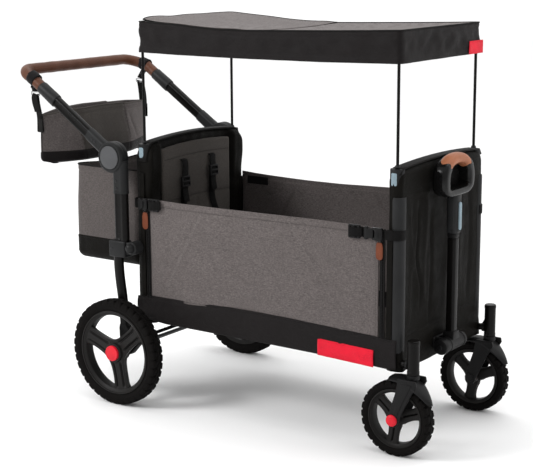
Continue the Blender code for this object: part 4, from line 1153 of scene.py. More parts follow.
def canopy():
    nx, ny, rows = 96, 52, 18
    x0, x1, yy = -0.2418, 0.5688, 0.2088
    gx = x0 + (x1 - x0) * (0.5 - 0.5 * np.cos(PI * np.linspace(0, 1, nx))) * 0.35 + (x1 - x0) * np.linspace(0, 1, nx) * 0.65
    gy = np.linspace(-yy, yy, ny)
    X, Y = np.meshgrid(gx, gy, indexing="ij")
    # rounded corners in plan
    cx, cy, r = (x0 + x1) / 2, 0.0, 0.012
    ax, ay = (x1 - x0) / 2, yy
    ex, ey = np.clip((np.abs(X - cx) - (ax - r)) / r, 0, 1), np.clip((np.abs(Y) - (ay - r)) / r, 0, 1)
    shrink = r * (1 - 1 / np.sqrt(np.maximum(1 + np.minimum(ex, ey) ** 2, 1))) * 0.9
    X = X - np.sign(X - cx) * shrink * ex
    Y = Y - np.sign(Y) * shrink * ey
    Z = canopy_top(X, Y)
    P = np.stack([X, Y, Z], 2)
    inside = np.minimum(np.minimum(X - x0, x1 - X), yy - np.abs(Y))
    P[..., 2] += 0.0007 * waves(P.reshape(-1, 3), 0.14, 11, stretch=(1, 1, 3)).reshape(nx, ny) * step(inside, 0, 0.03)
    V = P.reshape(-1, 3).tolist()
    F, mi = [], []
    for i in range(nx - 1):
        for j in range(ny - 1):
            F.append((i * ny + j, (i + 1) * ny + j, (i + 1) * ny + j + 1, i * ny + j + 1))
            mi.append(0)
    ring = [i * ny for i in range(nx)] + [(nx - 1) * ny + j for j in range(1, ny)] + [i * ny + ny - 1 for i in range(nx - 2, -1, -1)] + [j for j in range(ny - 2, 0, -1)]
    R = np.array([V[i] for i in ring])
    n = len(R)
    Tn = np.roll(R, -1, 0) - np.roll(R, 1, 0)
    N2 = np.stack([Tn[:, 1], -Tn[:, 0]], 1)
    N2 /= np.linalg.norm(N2, axis=1, keepdims=True)
    lo = canopy_low(R[:, 0])
    prev = ring
    for k in range(1, rows + 1):
        q = k / rows
        z = R[:, 2] + (lo - R[:, 2]) * q
        B = np.stack([R[:, 0], R[:, 1], z], 1)
        amp = math.sin(PI * min(q * 1.15, 1.0)) * 0.7 + 0.3 * q
        w = waves(B, 0.085, 21, stretch=(1, 1, 1.5)) * 0.0026 + waves(B, 0.036, 22, stretch=(1.3, 1.3, 1)) * 0.0019 + waves(B, 0.30, 23) * 0.0010
        hem = 0.0011 * step(q, 0.80, 0.84) - 0.0010 * bump(q, 0.80, 0.03) - 0.0012 * bump(q, 0.17, 0.05)
        off = 0.0012 * math.sin(PI / 2 * min(q * 8, 1)) + amp * w + hem + 0.0012 * q
        B[:, :2] += N2 * np.clip(off, -0.0045, 0.0060)[:, None]
        base = len(V)
        V += B.tolist()
        cur = list(range(base, base + n))
        for i in range(n):
            F.append((prev[i], prev[(i + 1) % n], cur[(i + 1) % n], cur[i]))
            mi.append(1)
        prev = cur
    o = make("canopy_cloth", V, F, M["heather_top"])
    o.data.materials.append(M["black_cloth"])
    o.data.polygons.foreach_set("material_index", mi)
    # outward normals first, then the cloth's thickness inside
    up = np.mean([p.normal.z for p in o.data.polygons if p.material_index == 0])
    if up < 0:
        o.data.flip_normals()
    thicken(o, 0.0014)
    return o, R


cloth, RING = canopy()
put(cloth, "canopy_rear", "canopy_fabric")
canopy_folds(cloth)

edge = RING.copy()
edge[:, 2] += 0.0003
piping = tube("canopy_piping", edge, 0.0019, M["binding"], 10, closed=True, side=(0, 0, 1))
put(piping, "canopy_rear")
canopy_folds(piping)


def canopy_flap():
    """The loose second layer over the rear half of the top, lifted along its rear edge and sewn down at its front one."""
    nx, ny = 80, 56
    q, v = np.meshgrid(np.linspace(0, 1, nx), np.linspace(0, 1, ny), indexing="ij")
    X = -0.2425 + 0.3720 * q
    Y = -0.2085 + 0.4150 * v
    # rounded rear corners
    for cv_, sg in ((0.0, 1.0), (1.0, -1.0)):
        dx, dy = np.clip(1 - (X + 0.2425) / 0.020, 0, 1), np.clip(1 - np.abs(v - cv_) * 0.4150 / 0.020, 0, 1)
        k = 0.30 * np.minimum(dx, dy) * 0.020
        X = X + k
        Y = Y + sg * k
    lift = 0.0056 * np.exp(-((q / 0.24) ** 1.5)) * (0.10 + 0.90 * step(v, 0.0, 0.12)) * (1 - 0.12 * v)
    Y = Y + 0.0110 * np.exp(-((q / 0.15) ** 2)) * (1 - v) ** 3
    Z = canopy_top(X, Y) + 0.0022 * step(q, 1.0, 0.90) + lift + 0.0003
    Z += 0.0020 * np.exp(-((q / 0.10) ** 2)) * np.exp(-((v / 0.16) ** 2))
    Z += 0.0016 * np.sin(PI * v) * np.exp(-((q - 0.30) / 0.22) ** 2)
    P = np.stack([X, Y, Z], 2)
    P[..., 2] += (0.0007 * waves(P.reshape(-1, 3), 0.10, 31, stretch=(1, 1, 4)).reshape(nx, ny) + 0.0005) * step(q, 1.0, 0.85)
    o = grid("canopy_flap", P, M["heather_top"])
    if np.mean([p.normal.z for p in o.data.polygons]) < 0:
        o.data.flip_normals()
    thicken(o, 0.0012, 1.0)
    n0 = int(0.26 * nx)
    loop = np.vstack([P[n0::-1, 0], P[0, 1:], P[1:, -1], P[-1, ::-1][1:10]])
    loop[:, 2] += 0.0006
    sc = np.ones(len(loop))
    sc[:n0] = np.linspace(0.15, 1.0, n0)
    sc[-9:] = np.linspace(1.0, 0.2, 9)
    b = sweep("flap_edge", loop, rrect(0.0042, 0.0034, 0.0015, 3), M["binding"], (0, 0, 1), scale=sc)
    return o, b


flap, flap_edge = canopy_flap()
for o in (flap, flap_edge):
    put(o, "canopy_rear")
    canopy_folds(o)


def label(name, corner, across, down, w, h, normal, bulge=0.0):
    """A woven label with a stitched border. across and down are unit vectors."""
    corner, across, down, normal = (np.array(k, float) for k in (corner, across, down, normal))
    n, m = 40, 18
    a_, d_ = np.meshgrid(np.linspace(0, w, n), np.linspace(0, h, m), indexing="ij")
    P = corner + a_[..., None] * across + d_[..., None] * down
    P = P + (0.0004 * waves(P.reshape(-1, 3), 0.03, 41).reshape(n, m) + bulge * np.sin(PI * d_ / h))[..., None] * normal
    o = grid(name, P, M["red_tag"])
    if np.dot(np.mean([p.normal for p in o.data.polygons], axis=0), normal) < 0:
        o.data.flip_normals()
    thicken(o, 0.0009, 1.0)
    e_ = 0.0026
    path = np.array([corner + across * x_ + down * z_ for x_, z_ in ((e_, e_), (w - e_, e_), (w - e_, h - e_), (e_, h - e_), (e_, e_))])
    path = path + normal * (0.0012 + bulge * 0.4)
    dense = np.vstack([p + (q - p) * np.linspace(0, 1, 20, endpoint=False)[:, None] for p, q in zip(path[:-1], path[1:])])
    s_ = stitches(name + "_st", dense, M["red_tag"], normal, 0.0036, 0.0024, 0.0004)
    return join(name, [o, s_])


tag = label("canopy_label", (0.5750, 0.1330, 1.0080), (0, 1, 0), (0, 0, -1), 0.0770, 0.0335, (1, 0, 0))
put(tag, "canopy_rear")
canopy_folds(tag)


# ================================ end panels =========================================
def pillowcase(name, x_mid, half_y, z0, top, front, rear, mat, seed, nz=70, ny=90, wrinkle=0.0012, corner=0.016, inset=None):
    """Cloth sewn round an end frame: closed at the top and sides, open at the bottom.
    top(y), front(y, z) and rear(y, z) give its outline and its two faces' distances from x_mid."""
    v = np.sin(np.linspace(-PI / 2, PI / 2, ny)) * 0.25 + np.linspace(-1, 1, ny) * 0.75
    v = v / v.max()
    y = v * half_y
    edge = np.sqrt(np.clip(1 - np.clip((np.abs(y) - (half_y - corner)) / corner, 0, 1) ** 2, 0, 1))
    rings = []
    q = np.concatenate([np.linspace(0, 0.955, nz - 12), 0.955 + 0.045 * np.sin(np.linspace(0, PI / 2, 13)[1:])])
    for t in q:
        z = z0 + (top(y) - z0) * t
        close = math.sqrt(max(1 - max((t - 0.955) / 0.045, 0) ** 2, 0.0))
        close = 0.12 + 0.88 * close
        F_ = np.stack([x_mid + front(y, z) * close * np.maximum(edge, 0.04), y, z], 1)
        B_ = np.stack([x_mid - rear(y, z) * close * np.maximum(edge, 0.04), y, z], 1)
        rings.append(np.vstack([F_, B_[::-1]]))
    P = np.array(rings)
    flat = P.reshape(-1, 3)
    w = (waves(flat, 0.09, seed, stretch=(1, 1, 2.2)) + 0.6 * waves(flat, 0.045, seed + 1, stretch=(1, 1, 2.5))).reshape(P.shape[:2])
    sgn = np.sign(P[..., 0] - x_mid)
    P[..., 0] += sgn * w * wrinkle * np.concatenate([edge, edge[::-1]])[None]
    o = grid(name, P, mat, cv=True)
    # close the thin slit left along the top
    bm = bmesh.new()
    bm.from_mesh(o.data)
    rim_ = [e_ for e_ in bm.edges if e_.is_boundary and min(v_.co.z for v_ in e_.verts) > z0 + 0.02]
    n2 = len(P[0])
    bm.verts.ensure_lookup_table()
    last = (len(P) - 1) * n2
    for i in range(ny - 1):
        vs = [bm.verts[last + i], bm.verts[last + i + 1], bm.verts[last + n2 - 2 - i], bm.verts[last + n2 - 1 - i]]
        try:
            bm.faces.new(vs)
        except ValueError:
            pass
    bmesh.ops.recalc_face_normals(bm, faces=bm.faces)
    bm.to_mesh(o.data)
    bm.free()
    o.data.shade_smooth()
    c = np.mean([(p.normal.x) * (1 if p.center.x > x_mid else -1) for p in o.data.polygons])
    if c < 0:
        o.data.flip_normals()
    thicken(o, 0.0013)
    return o


def rear_top(y):
    a_ = np.abs(y)
    z = 0.7352 - 0.0106 * (a_ / 0.19) ** 2
    drop = np.clip((a_ - 0.1870) / 0.0345, 0, 1)
    return z - 0.074 * (1 - np.sqrt(np.clip(1 - drop ** 2, 0, 1)))


def rear_front(y, z):
    a_ = np.abs(y)
    tuck = step(z, 0.440, 0.392)  # below the side panels' top the post sleeves are narrower, for the folded floor
    wing = step((a_ - 0.148 - 0.030 * tuck) / (0.024 - 0.009 * tuck), 0.0, 1.0)
    low = step(z, 0.66, 0.60)
    return 0.0135 - (1 - wing) * 0.0105 * step(z, 0.400, 0.360) * step(z, 0.262, 0.290) + wing * (0.0125 + 0.0045 * (1 - low)) + 0.0012 * bump(a_, 0.172, 0.006) + 0.0060 * wing * step(z, 0.58, 0.54)


def rear_back(y, z):
    a_ = np.abs(y)
    return 0.0222 + 0.0012 * step(a_, 0.15, 0.19) - 0.0010 * bump(z, 0.30, 0.004) - 0.0010 * bump(z, 0.655, 0.004)


head = pillowcase("rear_headboard", REAR_X, 0.2205, 0.2210, rear_top, rear_front, rear_back, M["panel_cloth"], 51)
put(head, "rear_frame", "rear_panel")

yb = np.linspace(-0.2190, 0.2190, 90)
top_line = np.stack([REAR_X + 0.0045 + 0 * yb, yb, rear_top(yb) + 0.0004], 1)
tape = sweep("rear_headboard_binding", top_line, rrect(0.0300, 0.0050, 0.0024, 3), M["binding"], (1, 0, 0))
put(tape, "rear_frame")

# piping and zip tape down the four corners of the tub
for side, s in SIDES:
    for end, body, x_pipe, x_tape, z_hi in (("rear", "rear_frame", -0.2155, -0.2100, 0.574), ("front", "front_frame", 0.5400, 0.5330, 0.574)):
        P = np.array([(x_pipe + 0.0004 * math.sin(z * 90), s * 0.2222, z) for z in np.linspace(0.296, z_hi, 60)])
        pipe = tube(f"{end}_piping_{side}", P, 0.0021, M["binding"], 10, side=(1, 0, 0))
        d = 1 if end == "rear" else -1
        tp = [(x_tape, s * 0.2212, z) for z in np.linspace(0.296, z_hi - 0.002, 40)]
        tape_ = sweep(f"{end}_tape_{side}", np.array(tp), rrect(0.0125, 0.0016, 0.0007, 2), M["webbing"], (1, 0, 0))
        teeth = []
        for k, z in enumerate(np.arange(0.300, z_hi - 0.004, 0.0042)):
            teeth.append((x_tape + d * 0.0026 * (1 if k % 2 else -1) * 0.25, z))
        V, F = [], []
        for tx, tz in teeth:
            b_ = len(V)
            for dx in (-0.0016, 0.0016):
                for dy in (0.0006, 0.0026):
                    for dz in (-0.0013, 0.0013):
                        V.append((tx + dx, s * (0.2212 + dy), tz + dz * (1.0 if dy < 0.001 else 0.7)))
            F += [tuple(b_ + i for i in f) for f in ((0, 1, 3, 2), (4, 6, 7, 5), (0, 4, 5, 1), (2, 3, 7, 6), (0, 2, 6, 4), (1, 5, 7, 3))]
        zipt = make(f"{end}_teeth_{side}", V, F, M["black_plastic"], smooth=False)
        gather = sweep(f"{end}_welt_{side}", np.array([(x_pipe - d * 0.0140, s * 0.2216, z) for z in np.linspace(0.298, z_hi + (0.070 if end == "rear" else 0.0), 50)]),
                       rrect(0.0160, 0.0030, 0.0014, 3), M["panel_cloth"], (1, 0, 0))
        line = join(f"{end}_zip_line_{side}", [pipe, tape_, zipt, gather])
        put(line, "rear_frame")
        if end == "front":
            folds(line)


def front_top(y):
    a_ = np.abs(y)
    z = 0.7298 - 0.0078 * (a_ / 0.20) ** 2
    drop = np.clip((a_ - 0.1960) / 0.0200, 0, 1)
    return z - 0.034 * (1 - np.sqrt(np.clip(1 - drop ** 2, 0, 1)))


def front_front(y, z):
    """The outer face, which hangs in soft vertical folds between the posts."""
    a_ = np.abs(y)
    hang = np.clip(1 - (a_ / 0.185) ** 2, 0, 1)
    zz = np.clip((z - 0.23) / 0.5, 0, 1)
    f = 0.0192 + 0.0020 * step(a_, 0.15, 0.19) - 0.0050 * hang * np.sin(PI * zz) ** 0.7
    wob = 0.010 * np.sin(z * 21.0) + 0.004 * np.sin(z * 47.0 + 1.0)
    f = f - 0.0062 * bump(y, -0.118 + wob, 0.0065) * step(z, 0.33, 0.42) * step(z, 0.66, 0.58)
    f = f + 0.0046 * bump(y, -0.136 + wob, 0.0110) * step(z, 0.33, 0.42) * step(z, 0.68, 0.56)
    for yc, am, wd, lo_, hi_ in ((-0.165, 0.0024, 0.010, 0.30, 0.60), (-0.085, 0.0022, 0.012, 0.34, 0.62), (-0.052, -0.0022, 0.009, 0.28, 0.55), (0.030, 0.0022, 0.013, 0.30, 0.66),
                                 (0.066, -0.0026, 0.010, 0.32, 0.64), (0.105, 0.0024, 0.014, 0.36, 0.66), (0.150, -0.0020, 0.010, 0.30, 0.62)):
        f = f + 1.5 * am * bump(y + 0.006 * np.sin(z * 17 + yc * 60), yc, wd) * step(z, lo_, lo_ + 0.06) * step(z, hi_ + 0.06, hi_)
    f = f - 0.0024 * bump(z, 0.300 + 0.004 * np.sin(y * 18), 0.0028) + 0.0026 * step(z, 0.300, 0.285)
    f = f - 0.0022 * bump(z, 0.640 + 0.002 * np.sin(y * 30), 0.0030) * step(a_, 0.150, 0.135) + 0.0016 * bump(z, 0.648, 0.0040) * step(a_, 0.150, 0.135)
    f = f + 0.0040 * step(a_, 0.185, 0.215) * step(z, 0.280, 0.235)
    return f


def front_rear(y, z):
    a_ = np.abs(y)
    return 0.0150 + 0.0040 * step(a_, 0.15, 0.19) - 0.0025 * bump(z, 0.60, 0.12) - 0.0120 * step(z, 0.400, 0.360) * step(z, 0.262, 0.290) * step(a_, 0.182, 0.170)


fp = pillowcase("front_panel_cloth", FRONT_X, 0.2195, 0.2165, front_top, front_front, front_rear, M["panel_cloth"], 61, 84, 110, 0.0007, 0.0130)
put(fp, "front_frame", "front_panel")
yb = np.linspace(-0.2120, 0.2120, 90)
top_line = np.stack([FRONT_X + 0.0020 + 0 * yb, yb, front_top(yb) + 0.0004], 1)
tape = sweep("front_panel_binding", top_line, rrect(0.0320, 0.0046, 0.0022, 3), M["binding"], (1, 0, 0))
put(tape, "front_frame")
ys = np.linspace(-0.2080, 0.2080, 120)
st = []
for dz in (0.0045, 0.0090):
    zz = 0.300 + dz + 0.004 * np.sin(ys * 18)
    st.append(stitches(f"fps{dz}", np.stack([FRONT_X + front_front(ys, zz) + 0.0004, ys, zz], 1), M["thread_black"], (1, 0, 0), 0.0050, 0.0034, 0.0005))
put(join("front_panel_stitching", st), "front_frame")

# the black cloth sleeve that shows round each front post, coloured grey as painted sheen where the cloth catches the
# light round the post
for side, s in SIDES:
    sl = turned(f"front_post_sleeve_{side}", [(0.0172, 0.2640), (0.0186, 0.2660), (0.0190, 0.2760), (0.0186, 0.4500), (0.0184, 0.5500), (0.0184, 0.6470), (0.0180, 0.6530), (0.0170, 0.6538), (0.0160, 0.6538),
                                              (0.0160, 0.2640), (0.0172, 0.2640)],
                (FRONT_X + 0.0062, s * (POST_Y + 0.0022), 0), "Z", M["sleeve_painted_sheen"], 40, 1, 30)
    put(sl, "front_frame")


# ================================ side panels ========================================
SIDE_TOP_X = [-0.2105, -0.0925, 0.0238, 0.1360, 0.2497, 0.3491, 0.4404, 0.5215]
NEAR_TOP = [0.5725, 0.5705, 0.5714, 0.5728, 0.5739, 0.5747, 0.5741, 0.5735]
FAR_TOP = [0.5915, 0.5870, 0.5845, 0.5842, 0.5880, 0.5915, 0.5900, 0.5860]


def crease(X, Z, a_, b_, width, amp):
    """A fold line from a to b in the panel's plane, raised on one side of it."""
    ax, az = a_
    dx, dz = b_[0] - ax, b_[1] - az
    L_ = math.hypot(dx, dz)
    t = ((X - ax) * dx + (Z - az) * dz) / L_ ** 2
    d = ((X - ax) * dz - (Z - az) * dx) / L_
    fade = step(t, -0.02, 0.06) * step(t, 1.05, 0.80)
    return amp * fade * (np.exp(-np.abs(d) / width) - 0.7 * np.exp(-(((d - width * 1.2) / (width * 0.8)) ** 2)))


def side_panel(side, s):
    n, m = 190, 100
    tops = NEAR_TOP if s < 0 else FAR_TOP
    x = np.linspace(-0.2105, 0.5215, n)
    top = np.interp(x, SIDE_TOP_X, tops)
    for _ in range(10):
        top[1:-1] = 0.25 * top[:-2] + 0.5 * top[1:-1] + 0.25 * top[2:]
    X = np.repeat(x[:, None], m, 1)
    q = np.linspace(0, 1, m)[None]
    Z = 0.2900 + (top[:, None] - 0.2900) * q
    ends = step(X, -0.2105, -0.15) * step(X, 0.5215, 0.46)
    off = 0.0022 + 0.0036 * ends * np.sin(PI * np.clip(q, 0, 1)) ** 0.8
    P = np.stack([X, 0 * X, Z], 2).reshape(-1, 3)
    off = off + (0.0011 * waves(P, 0.22, 71 + int(s), stretch=(1, 1, 1.6)) + 0.0005 * waves(P, 0.08, 73 + int(s), stretch=(1, 1, 1.4))).reshape(n, m) * (0.3 + 0.7 * ends)
    off = off + crease(X, Z, (0.2497, 0.5739), (0.4050, 0.3600), 0.0045, 0.0030)
    off = off + crease(X, Z, (-0.0167, 0.5559), (-0.1500, 0.3200), 0.0080, 0.0026)
    off = off + crease(X, Z, (0.0300, 0.4200), (0.1900, 0.3100), 0.0100, 0.0014)
    hem = top[:, None] - Z
    off = off + 0.0010 * step(hem, 0.0150, 0.0125) - 0.0008 * bump(hem, 0.0150, 0.0012)
    off = off - 0.0010 * bump(X, -0.2010, 0.0015) - 0.0010 * bump(X, 0.5120, 0.0015)
    if s > 0:
        off = off - 0.0050 * step(Z, 0.50, 0.59) * ends
    Yv = s * (SIDE_Y - 0.0005 + off)
    G = np.stack([X, Yv, Z], 2)
    o = grid(f"side_cloth_{side}", G, M["heather"])
    if np.mean([p.normal.y for p in o.data.polygons]) * s < 0:
        o.data.flip_normals()
    thicken(o, 0.0024)
    lines = []
    for row_d in (0.0165,):
        z = top - row_d
        yv = s * (SIDE_Y + 0.0004 + np.array([np.interp(z_, Z[i], off[i]) for i, z_ in enumerate(z)]))
        lines.append(stitches(f"hs{row_d}", np.stack([x, yv, z], 1)[2:-2], M["thread_grey"], (0, s, 0), 0.0048, 0.0032, 0.00042))
    sides = []
    for xs in (-0.2035, 0.5145):
        z = np.linspace(0.305, np.interp(xs, x, top) - 0.006, 60)
        i = int(np.argmin(np.abs(x - xs)))
        yv = s * (SIDE_Y + 0.0004 + np.interp(z, Z[i], off[i]))
        sides.append(stitches(f"vs{xs}", np.stack([0 * z + xs, yv, z], 1), M["thread_grey"], (0, s, 0), 0.0048, 0.0032, 0.00042))
    st_ = join(f"side_stitching_{side}", lines + sides)
    # a rolled hem along the top edge
    yt = s * (SIDE_Y - 0.0018 + off[:, -1] )
    roll_ = tube(f"side_hem_{side}", np.stack([x, yt, top - 0.0004], 1), 0.0019, M["heather"], 10, side=(0, 1, 0))
    return o, st_, roll_


for side, s in SIDES:
    o, st_, roll_ = side_panel(side, s)
    put(o, "rear_frame", f"side_panel_{side}")
    put(st_, "rear_frame")
    put(roll_, "rear_frame")
    for k in (o, st_, roll_):
        folds(k)

    # the black lower band, turned under the floor's edge
    n, m = 200, 34
    x = np.linspace(-0.2535, 0.5760, n)
    topz = np.interp(x, [-0.2535, -0.2150, -0.0988, 0.0768, 0.2433, 0.4016, 0.5227, 0.5760], [0.2965, 0.3020, 0.3030, 0.3085, 0.3080, 0.3035, 0.3000, 0.2975])
    lowz = np.interp(x, [-0.2547, -0.1616, -0.0172, 0.1882, 0.3499, 0.5087, 0.5534, 0.5760], [0.2350, 0.2252, 0.2255, 0.2253, 0.2243, 0.2205, 0.2192, 0.2215])
    for _ in range(12):
        topz[1:-1] = 0.25 * topz[:-2] + 0.5 * topz[1:-1] + 0.25 * topz[2:]
        lowz[1:-1] = 0.25 * lowz[:-2] + 0.5 * lowz[1:-1] + 0.25 * lowz[2:]
    q = np.linspace(0, 1, m)
    rows = []
    for t in q:
        if t < 0.74:
            k = t / 0.74
            z = topz + (lowz + 0.006 - topz) * k
            off = 0.0042 + 0.0030 * math.sin(PI * k) ** 0.8 - 0.0012 * bump(k, 0.08, 0.03)
        else:
            k = (t - 0.74) / 0.26
            z = lowz + 0.006 - 0.006 * math.sin(PI / 2 * min(k * 2.2, 1)) + 0.0015 * max(k - 0.45, 0)
            off = 0.0042 - 0.0060 * (1 - math.cos(PI / 2 * min(k * 2.2, 1))) - 0.0240 * max(k - 0.35, 0)
        B = np.stack([x, 0 * x, z], 1)
        w = 0.0009 * waves(B, 0.11, 81 + int(s), stretch=(1.6, 1, 1)) + 0.0005 * waves(B, 0.05, 83 + int(s))
        rows.append(np.stack([x, s * (SIDE_Y + off + w * (1 if t < 0.8 else 0.4)), z], 1))
    band = grid(f"side_band_{side}", np.array(rows), M["black_cloth"])
    ref = [p.normal.y * s for p in band.data.polygons]
    if np.mean(ref) < 0:
        band.data.flip_normals()
    thicken(band, 0.0014)
    put(band, "rear_frame")
    folds(band)
    bs = stitches(f"band_stitching_{side}", np.stack([x, s * (SIDE_Y + 0.0048) + 0 * x, topz - 0.0030], 1)[3:-3], M["thread_black"], (0, s, 0), 0.0046, 0.0032, 0.00045)
    put(bs, "rear_frame")
    folds(bs)

    tag = label(f"side_label_{side}", (0.3480, s * (SIDE_Y + 0.0070), 0.2695), (1, 0, -0.030), (0, 0, -1), 0.1650, 0.0440, (0, s, 0), 0.0012)
    put(tag, "rear_frame")
    folds(tag)

# a hook-and-loop patch on the inside of the far side
P = [(-0.1875 + 0.0729 * i / 20, SIDE_Y - 0.0052, 0.5700) for i in range(21)]
patch = sweep("hook_and_loop_patch", np.array(P), rrect(0.0230, 0.0022, 0.0010, 3), M["hook_loop"], (0, 0, 1))
put(patch, "rear_frame")
folds(patch)


# ================================ padding ============================================
def quilt(name, outline, plane, lo, hi, mat, seams, voxel, cap, front=1, pressure=5.0, depth=0.0022, width=0.0045):
    """A stuffed pad: an outline given a thickness, sewn down along its border and its seams, then blown up a little.
    seams(u, v) is the distance of a point in the outline's plane from the nearest seam."""
    order = {"XZ": (0, 2, 1), "YZ": (1, 2, 0), "XY": (0, 1, 2)}[plane]
    o = slab(name, outline, lo, hi, plane, mat, edge=abs(hi - lo) * 0.42, segments=3)
    for m_ in list(o.modifiers):
        if m_.type == "BEVEL":
            bake(o)
            break
    ring = np.array(outline)

    def border(u, v):
        d = np.full(len(u), 9.0)
        for a_, b_ in zip(ring, np.roll(ring, -1, 0)):
            ab = b_ - a_
            t = np.clip(((u - a_[0]) * ab[0] + (v - a_[1]) * ab[1]) / max(ab @ ab, 1e-12), 0, 1)
            d = np.minimum(d, np.hypot(u - a_[0] - ab[0] * t, v - a_[1] - ab[1] * t))
        return d

    def pin(P):
        u, v = P[:, order[0]], P[:, order[1]]
        return np.clip(np.exp(-((np.minimum(seams(u, v), np.maximum(border(u, v) - 0.006, 0)) / 0.008) ** 2)), 0, 1)

    puff(o, pressure, cap, voxel, 16, pin)
    P = co_of(o)
    u, v, k = P[:, order[0]], P[:, order[1]], order[2]
    mid = (lo + hi) / 2
    d_s, d_b = seams(u, v), border(u, v)
    face = np.clip((P[:, k] - mid) / (abs(hi - lo) / 2), -1.3, 1.3) * front
    P[:, k] -= front * depth * np.exp(-((d_s / width) ** 2)) * np.clip(face, 0, 1)
    back_ = mid - front * abs(hi - lo) / 2
    P[:, k] = np.maximum(P[:, k], back_) if front > 0 else np.minimum(P[:, k], back_)
    set_co(o, P)
    mod(o, "SMOOTH", factor=0.5, iterations=4)
    bake(o)
    o.data.shade_smooth()
    return o


def seat_back(end, body, x_back, front, tops, y_half):
    ys_ = np.linspace(y_half, -y_half, 30)
    outline = [(y, tops(y)) for y in ys_] + [(-y_half, 0.4050), (y_half, 0.4050)]
    t = 0.0100

    def seams(u, v):
        arch_ = 0.006 * (1 - (u / y_half) ** 2)
        d = np.minimum(np.abs(v - (0.6660 + arch_)), np.abs(v - (0.5480 + arch_)))
        lower = np.where(v < 0.548, np.minimum(np.abs(u + 0.004), 9), 9)
        return np.minimum(d, lower)

    lo_, hi_ = (x_back, x_back + t) if front > 0 else (x_back - t, x_back)
    o = quilt(f"{end}_back_cushion", outline, "YZ", lo_, hi_, M["heather_dark"], seams, 0.0036, 0.0050, front, 5.0, 0.0016, 0.0030)
    put(o, body, f"{end}_seat_back")
    face = x_back + front * (t + 0.0042)
    yy = np.linspace(-y_half + 0.008, y_half - 0.008, 80)
    st_ = []
    for zc in (0.6660, 0.5480):
        for dz in (0.0035,):
            zz = zc + 0.006 * (1 - (yy / y_half) ** 2) + dz
            st_.append(stitches(f"sb{zc}{dz}", np.stack([0 * yy + x_back + front * (t + 0.0012), yy, zz], 1), M["thread_black"], (front, 0, 0), 0.0048, 0.0034, 0.0005))
    put(join(f"{end}_back_stitching", st_), body)

    # two shoulder straps of the harness, each with its slider
    parts = []
    for yc, lean, z_b, seed in ((-0.0700, 0.0, 0.6020, 1.0), (0.0600, 0.034, 0.6180, 2.0)):
        z = np.linspace(0.6660, 0.4150, 60)
        y = yc + 0.0035 * np.sin((0.666 - z) * 24 + seed) - 0.5 * lean * 0 + lean * step(z, 0.58, 0.42)
        slack = 0.0035 + 0.0045 * np.sin(PI * np.clip((0.666 - z) / 0.06, 0, 1)) * 0.6 + 0.0030 * np.sin((0.666 - z) * 31 + seed) ** 2
        slack = slack + 0.0055 * bump(z, z_b, 0.016)
        x = face + front * (slack - 0.0030)
        x[0] = x_back + front * (t * 0.5)
        parts.append(strap(f"hs{yc}", np.stack([x, y, z], 1), 0.0250, 0.0018, M["webbing"], (0, 1, 0)))
        # a loose tail under the slider
        zt = np.linspace(z_b + 0.004, z_b - 0.058, 22)
        xt = np.interp(zt, z[::-1], x[::-1]) + front * (0.0028 + 0.0050 * (np.linspace(0, 1, 22) ** 2))
        yt = np.interp(zt, z[::-1], y[::-1]) + 0.004 * np.linspace(0, 1, 22) ** 2
        parts.append(strap(f"ht{yc}", np.stack([xt, yt, zt], 1), 0.0245, 0.0016, M["webbing"], (0, 1, 0)))
        # the slider: a frame of five bars
        xs = float(np.interp(z_b, z[::-1], x[::-1]))
        yb_ = float(np.interp(z_b, z[::-1], y[::-1]))
        for dz in (-0.0130, 0.0, 0.0130):
            parts.append(rbox(f"hb{yc}{dz}", (xs - 0.0026, yb_ - 0.0165, z_b + dz - 0.0024), (xs + 0.0044, yb_ + 0.0165, z_b + dz + 0.0024), 0.0014, M["black_plastic"], 2))
        for dy in (-0.0160, 0.0160):
            parts.append(rbox(f"hc{yc}{dy}", (xs - 0.0024, yb_ + dy - 0.0024, z_b - 0.0150), (xs + 0.0042, yb_ + dy + 0.0024, z_b + 0.0150), 0.0014, M["black_plastic"], 2))
        # the box of stitching that holds the strap's upper end
        bx = face + front * 0.0016
        box_ = [(bx, yc + dy, 0.6605 - dz) for dy, dz in ((-0.009, 0), (0.009, 0), (0.009, 0.014), (-0.009, 0.014), (-0.009, 0))]
        box_ = np.array(box_)
        dense = np.vstack([p + (q - p) * np.linspace(0, 1, 8, endpoint=False)[:, None] for p, q in zip(box_[:-1], box_[1:])])
        parts.append(stitches(f"hx{yc}", dense, M["thread_black"], (front, 0, 0), 0.0032, 0.0022, 0.0004))
    put(join(f"{end}_harness", parts), body)
    return o


seat_back("rear", "rear_frame", REAR_X + 0.0138, 1, lambda y: 0.7120 - 0.0085 * (y / 0.158) ** 2, 0.1560)
seat_back("front", "front_frame", FRONT_X - 0.0175, -1, lambda y: 0.7000 - 0.0100 * (y / 0.158) ** 2, 0.1560)

